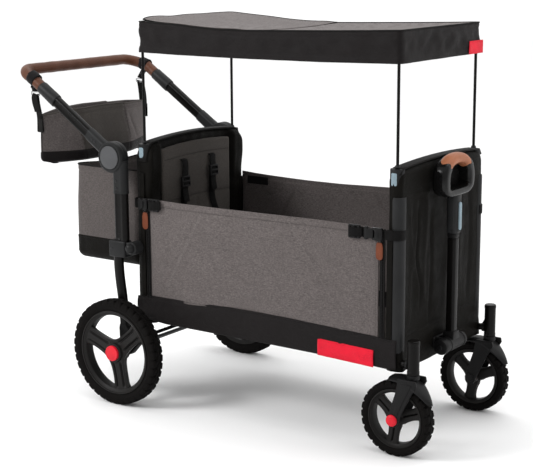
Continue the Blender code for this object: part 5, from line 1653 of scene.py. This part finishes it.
for end, x0, x1 in (("rear", -0.1500, 0.1375), ("front", 0.1895, 0.4770)):
    r_ = 0.018
    outline = []
    for cx, cy, a0 in ((x1 - r_, 0.174 - r_, 0), (x0 + r_, 0.174 - r_, 90), (x0 + r_, -0.174 + r_, 180), (x1 - r_, -0.174 + r_, 270)):
        for k in range(7):
            a_ = math.radians(a0 + 15 * k)
            outline.append((cx + r_ * math.cos(a_), cy + r_ * math.sin(a_)))
    third = (x1 - x0) / 3

    def channels(u, v, x0=x0, third=third):
        return np.minimum(np.abs(u - (x0 + third)), np.abs(u - (x0 + 2 * third)))

    pad = quilt(f"{end}_floor_cushion", outline, "XY", 0.2530, 0.2590, M["heather_dark"], channels, 0.0030, 0.0034, 1, 4.0, 0.0020, 0.0045)
    put(pad, f"floor_{end}", f"floor_pad_{end}")
    pipe = [(cx_, cy_, 0.2560) for cx_, cy_ in outline]
    pipe_o = tube(f"{end}_pad_piping", np.array(pipe), 0.0016, M["binding"], 8, closed=True, side=(0, 0, 1))
    put(pipe_o, f"floor_{end}")
    b_ = bpy.data.objects[f"floor_board_{end}"]
    b_.data.materials.clear()
    b_.data.materials.append(M["board"])
    mod(b_, "BEVEL", width=0.0025, segments=2, limit_method="ANGLE", angle_limit=math.radians(40), harden_normals=False)


# ================================ bags ===============================================
def oval_ring(hx, hy, rc, nx, ny, nc):
    """A rounded rectangle with the same number of points whatever its size."""
    rc = max(min(rc, hx * 0.96, hy * 0.96), 0.0004)
    p = []
    for k, (sx, sy) in enumerate(((1, 1), (-1, 1), (-1, -1), (1, -1))):
        cx, cy = sx * (hx - rc), sy * (hy - rc)
        for i in range(nc):
            a_ = PI / 2 * (k + i / nc)
            p.append((cx + rc * math.cos(a_), cy + rc * math.sin(a_)))
        a_ = PI / 2 * (k + 1)
        s0 = (cx + rc * math.cos(a_), cy + rc * math.sin(a_))
        nk = ((-1, 1), (-1, -1), (1, -1), (1, 1))[k]
        s1 = (nk[0] * (hx - rc) + rc * math.cos(a_), nk[1] * (hy - rc) + rc * math.sin(a_))
        m_ = nx if k % 2 == 0 else ny
        for i in range(m_):
            p.append((s0[0] + (s1[0] - s0[0]) * i / m_, s0[1] + (s1[1] - s0[1]) * i / m_))
    return np.array(p)


def boat_ring(hx, hy, rc, nx, ny, nc):
    """A boat-shaped outline: a flat front that turns back to the ends, and a nearly straight back."""
    n = ny + nx
    t = np.linspace(-1, 1, n + 1)
    yf = hy * (t + 0.10 * np.sin(PI * t) * 0.0)
    a_ = np.abs(t)
    xf = 0.90 - 1.22 * np.clip((a_ - 0.42) / 0.58, 0, 1) ** 1.25
    xb = -0.98 + 0.55 * np.clip((a_ - 0.55) / 0.45, 0, 1) ** 1.5
    end = np.sqrt(np.clip(1 - np.clip((a_ - 0.965) / 0.035, 0, 1) ** 2, 0, 1))
    m = (xf + xb) / 2
    xf, xb = m + (xf - m) * end, m + (xb - m) * end
    front = np.stack([xf * hx, yf], 1)
    rear = np.stack([xb * hx, yf], 1)[::-1]
    return np.vstack([front, rear[1:-1]])


def bag(name, cx, hx, hy, rc, ztop, zbot, taper, band, foot, mats, seed, bulge, wrinkle, nx=22, ny=70, nc=9, rows=60, sag=0.004, thick=0.0020, extra=None, plan=oval_ring, painted_shade_panel=None):
    """An open-topped cloth bag. ztop, zbot and band are functions of y; taper(q) scales the ring down the wall; foot is the radius of the lower edge."""
    rings, qs = [], []
    base = plan(hx, hy, rc, nx, ny, nc)
    for k in range(rows + 1):
        q = k / rows
        t_ = taper(q)
        R = plan(hx * t_[0], hy * t_[1], rc, nx, ny, nc)
        z = ztop(R[:, 1]) + (zbot(R[:, 1]) + foot - ztop(R[:, 1])) * q
        rings.append(np.stack([R[:, 0], R[:, 1], z], 1))
        qs.append(q)
    tE = taper(1.0)
    for k in range(1, 9):
        a_ = PI / 2 * k / 8
        d = foot * (1 - math.cos(a_))
        R = plan(hx * tE[0] - d, hy * tE[1] - d, max(rc - d, 0.001), nx, ny, nc)
        rings.append(np.stack([R[:, 0], R[:, 1], zbot(R[:, 1]) + foot * (1 - math.sin(a_))], 1))
        qs.append(1.0 + k)
    hx2, hy2 = hx * tE[0] - foot, hy * tE[1] - foot
    for k in range(1, 11):
        g = 1 - k / 10
        R = plan(max(hx2 * g, 0.0006), max(hy2 - hx2 * (1 - g), 0.001), max((rc - foot) * g, 0.0005), nx, ny, nc)
        rings.append(np.stack([R[:, 0], R[:, 1], zbot(R[:, 1]) - sag * math.sin(PI / 2 * (1 - g))], 1))
        qs.append(20.0 + k)
    P = np.array(rings)
    nxt, prv = np.roll(P, -1, 1), np.roll(P, 1, 1)
    Tn = (nxt - prv)[..., :2]
    Tn /= np.maximum(np.linalg.norm(Tn, axis=2, keepdims=True), 1e-9)
    N2 = np.stack([Tn[..., 1], -Tn[..., 0]], 2)
    q = np.array(qs)[:, None] * np.ones(P.shape[:2])
    wall = np.clip(q, 0, 1)
    side_x = np.clip(1 - np.abs(P[..., 1]) / (hy * 0.98), 0, 1)
    flat = P.reshape(-1, 3)
    w = (waves(flat, 0.16, seed, stretch=(1, 1, 1.5)) + 0.45 * waves(flat, 0.07, seed + 1, stretch=(1, 1, 1.3))).reshape(P.shape[:2])
    off = bulge * np.sin(PI * wall) * (0.35 + 0.65 * np.sqrt(side_x)) + wrinkle * w * np.where(q > 1, 0.3, 1)
    hem = (ztop(P[..., 1]) - P[..., 2])
    off = off + 0.0009 * step(hem, 0.0170, 0.0145) - 0.0009 * bump(hem, 0.0165, 0.0014)
    zb = band(P[..., 1])
    off = off + 0.0014 * step(P[..., 2] - zb, 0.002, -0.002) - 0.0012 * bump(P[..., 2], zb, 0.0018)
    if extra is not None:
        off = off + extra(P, q)
    P[..., :2] += N2 * (off * np.where(q > 9, 0.0, 1.0))[..., None]
    P[..., 0] += cx
    o = grid(name, P, mats[0], cv=True)
    for m_ in mats[1:]:
        o.data.materials.append(m_)
    mi = []
    for p in o.data.polygons:
        c_ = p.center
        k = 0
        if c_.z < band(np.array([c_.y]))[0]:
            k = 1
        elif painted_shade_panel is not None and painted_shade_panel(c_.x, c_.y, c_.z):
            # the third material marks painted shade on the panel that the mask picks
            k = 2
        mi.append(k)
    o.data.polygons.foreach_set("material_index", mi)
    bm = bmesh.new()
    bm.from_mesh(o.data)
    bmesh.ops.remove_doubles(bm, verts=bm.verts, dist=2e-5)
    bmesh.ops.recalc_face_normals(bm, faces=bm.faces)
    bm.to_mesh(o.data)
    bm.free()
    o.data.shade_smooth()
    outward = np.mean([p.normal.x * np.sign(p.center.x - cx) + p.normal.y * np.sign(p.center.y) for p in o.data.polygons if p.center.z > zbot(np.array([0.0]))[0] + foot + 0.01])
    if outward < 0:
        o.data.flip_normals()
    thicken(o, thick)
    top_ring = P[0].copy()
    top_ring[:, 2] -= 0.0004
    return o, top_ring, P


def store_top(y):
    y = np.asarray(y, float)
    return 0.6440 - 0.0120 * np.clip(1 - (y / 0.20) ** 2, 0, 1) ** 2


def store_low(y):
    y = np.asarray(y, float)
    return 0.3715 + 0 * y


def store_band(y):
    y = np.asarray(y, float)
    return 0.4385 + 0.0010 * np.sin(y * 22)


# the storage bag, hung behind the headboard
sb, ring_top, _ = bag("storage_bag", -0.3790, 0.1175, 0.1975, 0.0240, store_top, store_low, lambda q: (1.02 + 0.050 * q, 1 + 0.016 * q), store_band, 0.0260,
                      [M["heather_bag"], M["panel_cloth"]], 91, 0.0018, 0.0009, nx=44, ny=70, rows=70, sag=0.0)
put(sb, "rear_frame", "rear_storage_bag")
hem_ = tube("storage_bag_hem", ring_top, 0.0023, M["binding"], 8, closed=True, side=(0, 0, 1))
put(hem_, "rear_frame")
z_st = store_band(ring_top[:, 1]) - 0.0050
R_ = oval_ring(0.1175 * 1.058 + 0.0022, 0.1975 * 1.012 + 0.0022, 0.026, 44, 70, 9)
st_ = stitches("storage_bag_stitching", np.stack([R_[:, 0] - 0.3790, R_[:, 1], store_band(R_[:, 1]) - 0.0050], 1), M["thread_black"],
               np.stack([R_[:, 0] / 0.1175, R_[:, 1] / 0.1975, 0 * R_[:, 0]], 1), 0.0048, 0.0032, 0.00045)
put(st_, "rear_frame")
# webbing that hangs it from the frame
hang_ = []
for s in (1, -1):
    P = [(-0.2600, s * 0.150, 0.640), (-0.2590, s * 0.150, 0.655), (-0.2578, s * 0.150, 0.668), (-0.2576, s * 0.150, 0.690)]
    hang_.append(strap(f"bag_hanger{s}", spline(np.array(P), 14), 0.025, 0.0020, M["webbing"], (0, 1, 0)))
put(join("storage_bag_hangers", hang_), "rear_frame")


ORG_X, ORG_HX, ORG_HY = -0.5830, 0.0345, 0.2265


def org_top(y):
    y = np.asarray(y, float)
    return np.interp(y, [-0.227, -0.205, -0.130, -0.030, 0.0720, 0.0765, 0.0800, 0.160, 0.227], [0.7770, 0.7815, 0.7895, 0.7925, 0.7905, 0.7900, 0.7870, 0.7850, 0.7810])


def org_low(y):
    y = np.asarray(y, float)
    return 0.6360 + 0.0090 * (np.abs(y) / 0.225) ** 3


def org_band(y):
    y = np.asarray(y, float)
    return np.interp(y, [-0.227, -0.19, -0.10, -0.03, 0.10, 0.227], [0.6740, 0.6715, 0.6690, 0.6665, 0.6690, 0.6725])


def org_seam(z, which):
    a_ = ((-0.1290, 0.7900), (-0.1240, 0.7515), (-0.1010, 0.6890), (-0.0940, 0.6440)) if which == 0 else ((0.0765, 0.7900), (0.0830, 0.7530), (0.1030, 0.6690))
    zz, yy_ = [p[1] for p in a_][::-1], [p[0] for p in a_][::-1]
    return np.interp(z, zz, yy_)


def org_extra(P, q):
    """Seams and folds down the organiser's front."""
    X, Y, Z = P[..., 0], P[..., 1], P[..., 2]
    front_ = (np.arange(P.shape[1]) < 105)[None] * np.ones(P.shape[:2])
    s0, s1 = org_seam(Z, 0), org_seam(Z, 1)
    off = -0.0018 * bump(Y, s0, 0.0024) - 0.0020 * bump(Y, s1, 0.0024)
    off = off + 0.0034 * step(Y, s0, s0 + 0.05) * step(Y, s1, s1 - 0.05) * np.sin(PI * np.clip(q, 0, 1))
    fold = (Y - 0.125) * 0.85 + (Z - 0.722) * 0.55
    off = off - 0.0026 * np.exp(-(((fold) / 0.006) ** 2)) * step(np.abs(Y - 0.130), 0.042, 0.010) * step(Z, 0.665, 0.690)
    off = off + 0.0026 * bump(Y, -0.178 + (Z - 0.7) * 0.15, 0.012) * step(Z, 0.66, 0.69) - 0.0024 * bump(Y, -0.160 + (Z - 0.7) * 0.22, 0.009) * step(Z, 0.66, 0.69)
    return off * front_


# the front panel between the two seams takes the darker heather as painted shade, where the front faces away from the
# light
org, ring_top, OP = bag("organiser_cloth", ORG_X, ORG_HX, ORG_HY, 0.0170, org_top, org_low, lambda q: (1 + 0.10 * q, 1 + 0.024 * q), org_band, 0.0120,
                        [M["heather"], M["black_cloth"], M["heather_dark"]], 95, 0.0022, 0.0013, nx=20, ny=84, rows=56, sag=0.003, extra=org_extra,
                        plan=boat_ring, painted_shade_panel=lambda x, y, z: x > ORG_X + 0.010 and org_seam(z, 0) < y < org_seam(z, 1))
put(org, "organiser", "organiser_bag")
hem_ = tube("organiser_hem", ring_top, 0.0018, M["heather_dark"], 8, closed=True, side=(0, 0, 1))
put(hem_, "organiser")
st_ = []
front_ = OP[:, :105]
for dz_row in (4,):
    R2 = front_[dz_row, 4:-4].copy()
    R2[:, 0] += 0.0006
    st_.append(stitches(f"os{dz_row}", R2, M["thread_grey"], (1, 0, 0), 0.0044, 0.0030, 0.0004))
for w_ in (0, 1):
    rows_ = []
    for k in range(3, 44):
        row = front_[k]
        j = int(np.argmin(np.abs(row[:, 1] - (org_seam(row[0, 2], w_) + 0.0050))))
        yq = org_seam(row[j, 2], w_) + 0.0050
        rows_.append((np.interp(yq, row[:, 1], row[:, 0]) + 0.0006, yq, np.interp(yq, row[:, 1], row[:, 2])))
    st_.append(stitches(f"ow{w_}", np.array(rows_), M["thread_black"], (1, 0, 0), 0.0044, 0.0030, 0.0004))
put(join("organiser_stitching", st_), "organiser")

# its straps: a hook-and-loop band round the grip, a metal slider, and webbing down to each end
straps_ = []
for side, s in SIDES:
    P = spline(np.array([(-0.6110, s * 0.2300, 0.8390), (-0.6090, s * 0.2312, 0.8280), (-0.6050, s * 0.2310, 0.8080), (-0.6015, s * 0.2295, 0.7900), (-0.5995, s * 0.2282, 0.7740), (-0.5990, s * 0.2278, 0.7540), (-0.5990, s * 0.2274, 0.7320)]), 36)
    tw = np.array([(0.92 + 0.08 * math.cos(k / 35 * 2 * PI), 0.15 + 0.22 * math.sin(k / 35 * PI) * s, 0.0) for k in range(36)])
    a1 = strap(f"organiser_strap_{side}", P, 0.0240, 0.0022, M["webbing"], tw)
    P2 = spline(np.array([(-0.6110, s * 0.2300, 0.8400), (-0.6125, s * 0.2335, 0.8320), (-0.6095, s * 0.2345, 0.8150), (-0.6050, s * 0.2335, 0.7990), (-0.6030, s * 0.2325, 0.7900)]), 16)
    a2 = strap(f"organiser_tail_{side}", P2, 0.0235, 0.0018, M["webbing"], (1, 0, 0.15))
    tab = strap(f"organiser_tab_{side}", spline(np.array([(-0.5990, s * 0.2284, 0.7700), (-0.5990, s * 0.2288, 0.7500), (-0.5990, s * 0.2282, 0.7300)]), 10), 0.0275, 0.0032, M["binding"], (1, 0.25 * s, 0))
    c_ = np.array((-0.6112, s * 0.2300, 0.8412))
    loop = np.array([(0.0155, 0, 0.0045), (-0.0155, 0, 0.0045), (-0.0155, 0, -0.0045), (0.0155, 0, -0.0045)])
    loop = np.vstack([a_ + (b2 - a_) * np.linspace(0, 1, 8, endpoint=False)[:, None] for a_, b2 in zip(loop, np.roll(loop, -1, 0))])
    slider = tube(f"organiser_slider_{side}", c_ + loop, 0.0015, M["steel"], 10, closed=True, side=(0, 1, 0))
    black = strap(f"organiser_edge_{side}", spline(np.array([(-0.5965, s * 0.2268, 0.7770), (-0.5960, s * 0.2272, 0.7400), (-0.5965, s * 0.2262, 0.6900), (-0.5975, s * 0.2248, 0.6560)]), 24), 0.0100, 0.0020, M["binding"], (0.5, 1.0 * s, 0))
    straps_ += [a1, a2, tab, slider, black]
put(join("organiser_straps", straps_), "organiser")

for side, s in SIDES:
    # a wide band of hook-and-loop wrapped round the grip
    c0, tdir = None, None
    gy = s * 0.2500
    m_ = (gp[:, 1] * s > 0.2200) & (gp[:, 0] > -0.650)
    near_ = gp[m_]
    k_ = int(np.argmin(np.abs(near_[:, 0] - (-0.5960 if s < 0 else -0.6080))))
    c0 = near_[k_]
    tdir = near_[min(k_ + 1, len(near_) - 1)] - near_[max(k_ - 1, 0)]
    tdir = tdir / np.linalg.norm(tdir)
    if tdir[0] < 0:
        tdir = -tdir
    P = np.array([c0 + tdir * d_ for d_ in np.linspace(-0.0135, 0.0135, 9)])
    outer = circle(1.0, 40)
    r_ = np.array([0.0166, 0.0178, 0.0182, 0.0182, 0.0182, 0.0182, 0.0182, 0.0178, 0.0166])
    wrap = sweep(f"grip_wrap_{side}", P, outer, M["hook_loop"], (0, 1, 0), scale=r_)
    # the lapped end and the tail of the band that drops to the slider
    lap = np.array([c0 + (0, 0.0196 * math.cos(a_), 0) + np.cross((0, 1, 0), tdir) * (-0.0196) * math.sin(a_) for a_ in np.linspace(-0.4, 2.6, 24)])
    lap_o = strap(f"grip_lap_{side}", lap, 0.0260, 0.0020, M["hook_loop"], tdir)
    drop = spline(np.array([c0 + (0.000, -s * 0.002, -0.0165), c0 + (-0.0020, -s * 0.006, -0.0230), (-0.6095, s * 0.2330, 0.8560), (-0.6108, s * 0.2305, 0.8475)]), 16)
    drop_o = strap(f"grip_drop_{side}", drop, 0.0245, 0.0030, M["webbing"], (1, 0, 0.2))
    put(join(f"grip_band_{side}", [wrap, lap_o, drop_o]), "push_handle")


# ================================ buckles and zip pulls ==============================
def side_buckle(end, side, s):
    d = 1 if end == "front" else -1
    yo = s * 0.2262
    if end == "front":
        zc, x_post, xa0, xa1, xb0, xb1 = 0.5610, FRONT_X, 0.4430, 0.4700, 0.4860, 0.5380
        path = [(0.4560, yo), (0.4900, yo), (0.5300, yo), (0.5520, yo + s * 0.0010), (0.5700, s * 0.2255), (0.5812, s * 0.2180), (0.5850, s * 0.2060), (0.5838, s * 0.1960)]
    else:
        zc, x_post, xa0, xa1, xb0, xb1 = 0.5595, REAR_X, -0.1985, -0.1700, -0.2370, -0.2050
        path = [(-0.1850, yo), (-0.2050, yo), (-0.2200, yo), (-0.2400, yo), (-0.2520, s * 0.2245), (-0.2588, s * 0.2150), (-0.2590, s * 0.2000)]
    parts = []
    P = spline(np.array([(x_, y_, zc) for x_, y_ in path]), 40)
    parts.append(strap(f"k1{end}{side}", P, 0.0250, 0.0022, M["webbing"], (0, 0, 1)))
    xs_ = np.linspace(xa0 + 0.003 if d > 0 else xa1 - 0.003, (xa0 - 0.006) if d > 0 else (xa1 + 0.006), 10)
    # adjuster: a ladder of bars
    for q in (0.0, 0.5, 1.0):
        xq = xa0 + (xa1 - xa0) * q
        parts.append(rbox(f"k2{end}{side}{q}", (xq - 0.0028, min(s * 0.2236, s * 0.2322), zc - 0.0160), (xq + 0.0028, max(s * 0.2236, s * 0.2322), zc + 0.0160), 0.0018, M["black_plastic"], 3))
    for dz in (-0.0148, 0.0148):
        parts.append(rbox(f"k3{end}{side}{dz}", (xa0 - 0.0020, min(s * 0.2240, s * 0.2312), zc + dz - 0.0024), (xa1 + 0.0020, max(s * 0.2240, s * 0.2312), zc + dz + 0.0024), 0.0015, M["black_plastic"], 3))
    over = spline(np.array([(xa0, s * 0.2330, zc), ((xa0 + xa1) / 2 - 0.002, s * 0.2342, zc), (xa1, s * 0.2318, zc), (xa1 + 0.010, s * 0.2285, zc)]), 14)
    parts.append(strap(f"k4{end}{side}", over, 0.0230, 0.0018, M["webbing"], (0, 0, 1)))
    # the side-release buckle: a socket, a plug with two side prongs and its web bar
    xm = xb0 + (xb1 - xb0) * 0.52
    w_ = 0.0162
    socket = [(xm, -w_ * 0.72), (xm + 0.004, -w_), (xb1 - 0.004, -w_), (xb1, -w_ * 0.72), (xb1, w_ * 0.72), (xb1 - 0.004, w_), (xm + 0.004, w_), (xm, w_ * 0.72), (xm + 0.0035, w_ * 0.35), (xm + 0.0035, -w_ * 0.35)]
    plug = [(xb0, -w_ * 0.92), (xb0 + 0.0022, -w_), (xb0 + 0.0085, -w_), (xb0 + 0.0105, -w_ * 0.74), (xm - 0.0014, -w_ * 0.74), (xm - 0.0014, w_ * 0.74), (xb0 + 0.0105, w_ * 0.74), (xb0 + 0.0085, w_), (xb0 + 0.0022, w_), (xb0, w_ * 0.92)]
    for nm, pl, y0, y1 in (("k5", socket, 0.2240, 0.2336), ("k6", plug, 0.2244, 0.2322)):
        pl = [(x_, zc + z_) for x_, z_ in pl]
        parts.append(slab(f"{nm}{end}{side}", pl, min(s * y0, s * y1), max(s * y0, s * y1), "XZ", M["black_plastic"], 0.0014, 3))
    for dz in (-0.0132, 0.0132):
        parts.append(rbox(f"k7{end}{side}{dz}", (xm - 0.0040, min(s * 0.2254, s * 0.2316), zc + dz - 0.0022), (xm + 0.0120, max(s * 0.2254, s * 0.2316), zc + dz + 0.0026), 0.0012, M["gloss_plastic"], 3))
    for k in range(3):
        xg = xb1 - 0.006 - 0.0042 * k
        parts.append(rbox(f"k8{end}{side}{k}", (xg - 0.0009, min(s * 0.2330, s * 0.2344), zc - 0.0085), (xg + 0.0009, max(s * 0.2330, s * 0.2344), zc + 0.0085), 0.0006, M["black_plastic"], 2))
    return join(f"{end}_buckle_and_strap_{side}", parts)


for end, body in (("rear", "rear_frame"), ("front", "front_frame")):
    for side, s in SIDES:
        put(side_buckle(end, side, s), body, f"{end}_buckle_{side}")
        xc = -0.2185 if end == "rear" else 0.5262
        z_hi = 0.5360 if end == "rear" else 0.5400
        z_lo = 0.4885 if end == "rear" else 0.4955
        hw = 0.0098
        pts = []
        for k in range(13):
            a_ = PI + PI * k / 12
            pts.append((xc + hw * math.cos(a_), z_lo + hw + hw * math.sin(a_)))
        pts += [(xc + hw, z_hi - 0.012), (xc + hw * 0.80, z_hi - 0.0035), (xc + hw * 0.55, z_hi), (xc - hw * 0.55, z_hi), (xc - hw * 0.80, z_hi - 0.0035), (xc - hw, z_hi - 0.012)]
        y0, y1 = sorted((s * 0.2230, s * 0.2256))
        tab = slab(f"zt{end}{side}", pts, y0, y1, "XZ", M["leather_tab"], 0.0010, 3)
        ring_ = np.array([(x_, s * 0.2255, z_) for x_, z_ in pts])
        ctr = ring_.mean(0)
        inner = ctr + (ring_ - ctr) * np.array([0.74, 1, 0.88])
        inner = np.vstack([inner, inner[:1]])
        dense = np.vstack([p + (q - p) * np.linspace(0, 1, 6, endpoint=False)[:, None] for p, q in zip(inner[:-1], inner[1:])])
        st_ = stitches(f"zs{end}{side}", dense, M["thread_brown"], (0, s, 0), 0.0030, 0.0020, 0.0004)
        a_ = np.linspace(0, 2 * PI, 20, endpoint=False)
        eye = np.stack([xc + 0.0042 * np.cos(a_), s * 0.2238 + 0.0026 * np.cos(a_) * 0, z_hi + 0.0012 + 0.0042 * np.sin(a_)], 1)
        ring_o = tube(f"zr{end}{side}", eye, 0.0010, M["dark_steel"], 8, closed=True, side=(0, 1, 0))
        car = rbox(f"{end}_zip_car_{side}", (xc - 0.0045, min(s * 0.2212, s * 0.2240), z_hi + 0.0030), (xc + 0.0045, max(s * 0.2212, s * 0.2240), z_hi + 0.0120), 0.0012, M["dark_steel"], 3)
        put(join(f"{end}_zip_tab_{side}", [tab, st_, ring_o]), f"{end}_zip_pull_{side}", f"{end}_zip_pull_{side}")
        put(car, body)


# ================================ pull handle ========================================
P = [(PULL_X, 0, z) for z in (0.2600, 0.2700, 0.3000, 0.3600, 0.4200, 0.4800, 0.5150, 0.5230)]
outer = sweep("pull_outer_tube", np.array(P), rrect(0.0255, 0.0240, 0.0070, 6), M["black_paint"], (0, 1, 0))
bevel(outer, 0.0012, 2, 50)
collar = sweep("pull_outer_collar", np.array([(PULL_X, 0, z) for z in (0.5240, 0.5250, 0.5340, 0.5350)]), rrect(0.0272, 0.0258, 0.0080, 6), M["black_plastic"], (0, 1, 0),
               scale=[(0.95, 0.95), (1, 1), (1, 1), (0.94, 0.94)])
foot = slab("pull_outer_foot", [(-0.0150, 0.2790), (-0.0165, 0.2700), (-0.0185, 0.2600), (-0.0185, 0.2450), (-0.0120, 0.2365), (0.0120, 0.2365), (0.0185, 0.2450), (0.0185, 0.2600), (0.0165, 0.2700), (0.0150, 0.2790)],
            0.5950, 0.6260, "YZ", M["black_plastic"], 0.0022, 3)
# the barrel that it turns on: a stout sleeve with a flanged cap at each end
pin_ = turned("pull_pivot_barrel", [(0, -0.0590), (0.0160, -0.0590), (0.0188, -0.0575), (0.0200, -0.0545), (0.0200, -0.0430), (0.0184, -0.0412), (0.0184, -0.0270), (0.0196, -0.0262), (0.0196, 0.0262), (0.0184, 0.0270), (0.0184, 0.0412),
                                    (0.0200, 0.0430), (0.0200, 0.0500), (0.0188, 0.0535), (0.0160, 0.0550), (0, 0.0550)],
              (PULL_X, 0, PULL_Z - 0.0040), "Y", M["black_plastic"], 48, 1, 30)
heads = [disc(f"pph{s}", 0.0060, 0.0540, 0.0556 if s > 0 else 0.0604, (PULL_X, 0, PULL_Z - 0.0040), "Y", M["dark_steel"], 24, 0.0006, s, 0.0004) for s in (1, -1)]
put(join("pull_outer", [outer, collar, foot, pin_] + heads), "pull_handle", "pull_tube_outer")

cheeks = []
for s in (1, -1):
    pl = []
    for k in range(11):
        a_ = math.radians(-80 + 16.5 * k)
        pl.append((PULL_X + 0.0152 * math.cos(a_), PULL_Z + 0.0155 * math.sin(a_)))
    pl += [(0.5850, 0.2655), (0.5765, 0.2640), (0.5765, 0.2360), (0.5850, 0.2345)]
    y0, y1 = sorted((s * 0.0290, s * 0.0405))
    cheeks.append(slab(f"pc{s}", pl, y0, y1, "XZ", M["black_plastic"], 0.0020, 3))
cheeks.append(rbox("pcb", (0.5700, -0.0450, 0.2350), (0.5860, 0.0450, 0.2650), 0.0030, M["black_plastic"], 3))
for s in (1, -1):
    for z in (0.2430, 0.2570):
        cheeks.append(disc(f"pcs{s}{z}", 0.0032, 0.5858, 0.5872, (0, s * 0.0190, z), "X", M["dark_steel"], 20, 0.0005))
put(join("pull_bracket", cheeks), "front_frame", "pull_handle_bracket")

# the sliding inner tube, seen as a tapered grey neck below the grip
zs_ = np.array([0.3120, 0.3140, 0.5000, 0.5350, 0.5360, 0.5385, 0.5600, 0.5900, 0.6150, 0.6300, 0.6376])
sc = np.array([(0.62, 0.62), (0.66, 0.66), (0.66, 0.66), (0.66, 0.66), (0.90, 0.90), (0.96, 0.96), (0.97, 0.96), (0.97, 0.97), (0.99, 0.99), (1.0, 1.0), (1.0, 1.0)])
neck = sweep("pull_neck", np.stack([0 * zs_ + PULL_X + 0.0004, 0 * zs_, zs_], 1), rrect(0.0325, 0.0325, 0.0105, 6), M["grey_plastic"], (0, 1, 0), scale=sc)
bevel(neck, 0.0008, 2, 55)
rib = []
for s in (1, -1):
    rib.append(rbox(f"pnr{s}", (0.6040, s * 0.0160 - 0.0010, 0.5480), (0.6190, s * 0.0160 + 0.0010, 0.6280), 0.0009, M["grey_plastic"], 2))
frame_ = sweep("pull_lever_bezel", np.array([(0.6262, y_, z_) for y_, z_ in ((-0.0078, 0.5415), (0.0078, 0.5415), (0.0078, 0.6195), (-0.0078, 0.6195))]), rrect(0.0022, 0.0030, 0.0009, 3), M["grey_plastic"], (1, 0, 0), closed=True)
put(join("pull_inner", [neck, frame_] + rib), "pull_slider", "pull_tube_inner")

lv = []
for k in range(9):
    a_ = PI * k / 8
    lv.append((0.0060 * math.cos(a_), 0.6108 + 0.0057 * math.sin(a_)))
for k in range(9):
    a_ = PI + PI * k / 8
    lv.append((0.0060 * math.cos(a_), 0.5503 + 0.0057 * math.sin(a_)))
lever = slab("pull_lever_strip", lv, 0.6265, 0.6308, "YZ", M["button_blue"], 0.0012, 3)
ribs_ = [rbox(f"plr{k}", (0.6302, -0.0040, 0.5995 - 0.0034 * k), (0.6313, 0.0040, 0.6009 - 0.0034 * k), 0.0005, M["button_blue"], 2) for k in range(4)]
put(join("pull_lever", [lever] + ribs_), "pull_lever", "pull_release_lever")

# the grip: a deep black D-shaped ring, with a leather saddle along its upper arc
def pull_arc(a_):
    """The upper arc of the grip, a little squarer than an ellipse."""
    c, t = math.cos(a_), math.sin(a_)
    return math.copysign(abs(c) ** 0.86, c) * 0.0655, 0.6735 + 0.0535 * math.copysign(abs(t) ** 0.86, t)


arc = []
for k in range(41):
    arc.append(pull_arc(math.radians(-4 + 188 * k / 40)))
lower = [(-0.0620, 0.6530), (-0.0460, 0.6440), (-0.0180, 0.6425), (0.0180, 0.6425), (0.0460, 0.6440), (0.0620, 0.6530)]
cl = spline(np.array(arc + lower), 140, closed=True)
w_ = []
for y_, z_ in cl:
    t_ = step(z_, 0.722, 0.706)
    b_ = step(z_, 0.662, 0.646)
    w_.append((0.0175 + 0.0035 * t_, 0.0095 + 0.0048 * t_ - 0.0040 * b_))
P = np.stack([0 * cl[:, 0] + PULL_X - 0.0020, cl[:, 0], cl[:, 1]], 1)
g_ = sweep("pull_ring", P, np.array(rrect(2.0, 2.0, 0.62, 6)), M["gloss_plastic"], (1, 0, 0), closed=True, scale=np.array(w_))
put(sharp(g_, 60), "pull_slider", "pull_grip")
# a dished web closes the opening behind the hand
dish = []
for k in range(9):
    f_ = 1 - (k / 8) ** 1.4
    dish.append(np.stack([PULL_X - 0.0150 + 0 * cl[:, 0] - 0.0035 * (1 - f_), cl[:, 0] * f_ * 0.94, 0.6760 + (cl[:, 1] - 0.6760) * f_ * 0.90], 1))
dish_o = grid("pull_dish", np.array(dish), M["gloss_plastic"], cv=True)
thicken(dish_o, 0.0020, 0.0)
put(dish_o, "pull_slider")

aa = np.radians(np.linspace(13, 167, 70))
P = np.array([(PULL_X + 0.0006, *pull_arc(a_)) for a_ in aa])
sc = np.stack([np.ones(70), np.ones(70)], 1)
k_ = np.minimum(np.arange(70), np.arange(70)[::-1])
sc *= (0.84 + 0.16 * step(k_, 0, 7))[:, None]
sad = sweep("pull_saddle", P, np.stack([np.sign(c) * np.abs(c) ** 0.85 for c in circle(1.0, 40).T], 1) * np.array([[0.0182, 0.0138]]), M["leather_light"], (1, 0, 0), scale=sc)
A0 = aa[3:-3]
sr = []
for dx in (0.0120, -0.0120):
    Q = np.array([(PULL_X + dx, pull_arc(a_)[0] - 0.0118 * math.cos(a_), pull_arc(a_)[1] - 0.0118 * math.sin(a_)) for a_ in A0])
    sr.append(stitches(f"pull_saddle_st{dx}", Q, M["thread_brown"], np.stack([0 * A0 + dx * 40, -np.cos(A0), -np.sin(A0)], 1), 0.0040, 0.0028, 0.0006))
put(join("pull_saddle_leather", [sad] + sr), "pull_slider", "pull_grip_leather")

fin = lambda b: [[float(c) for c in v] for v in b]
{"cad": fin(CAD_BOX), "visual": fin(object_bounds())}
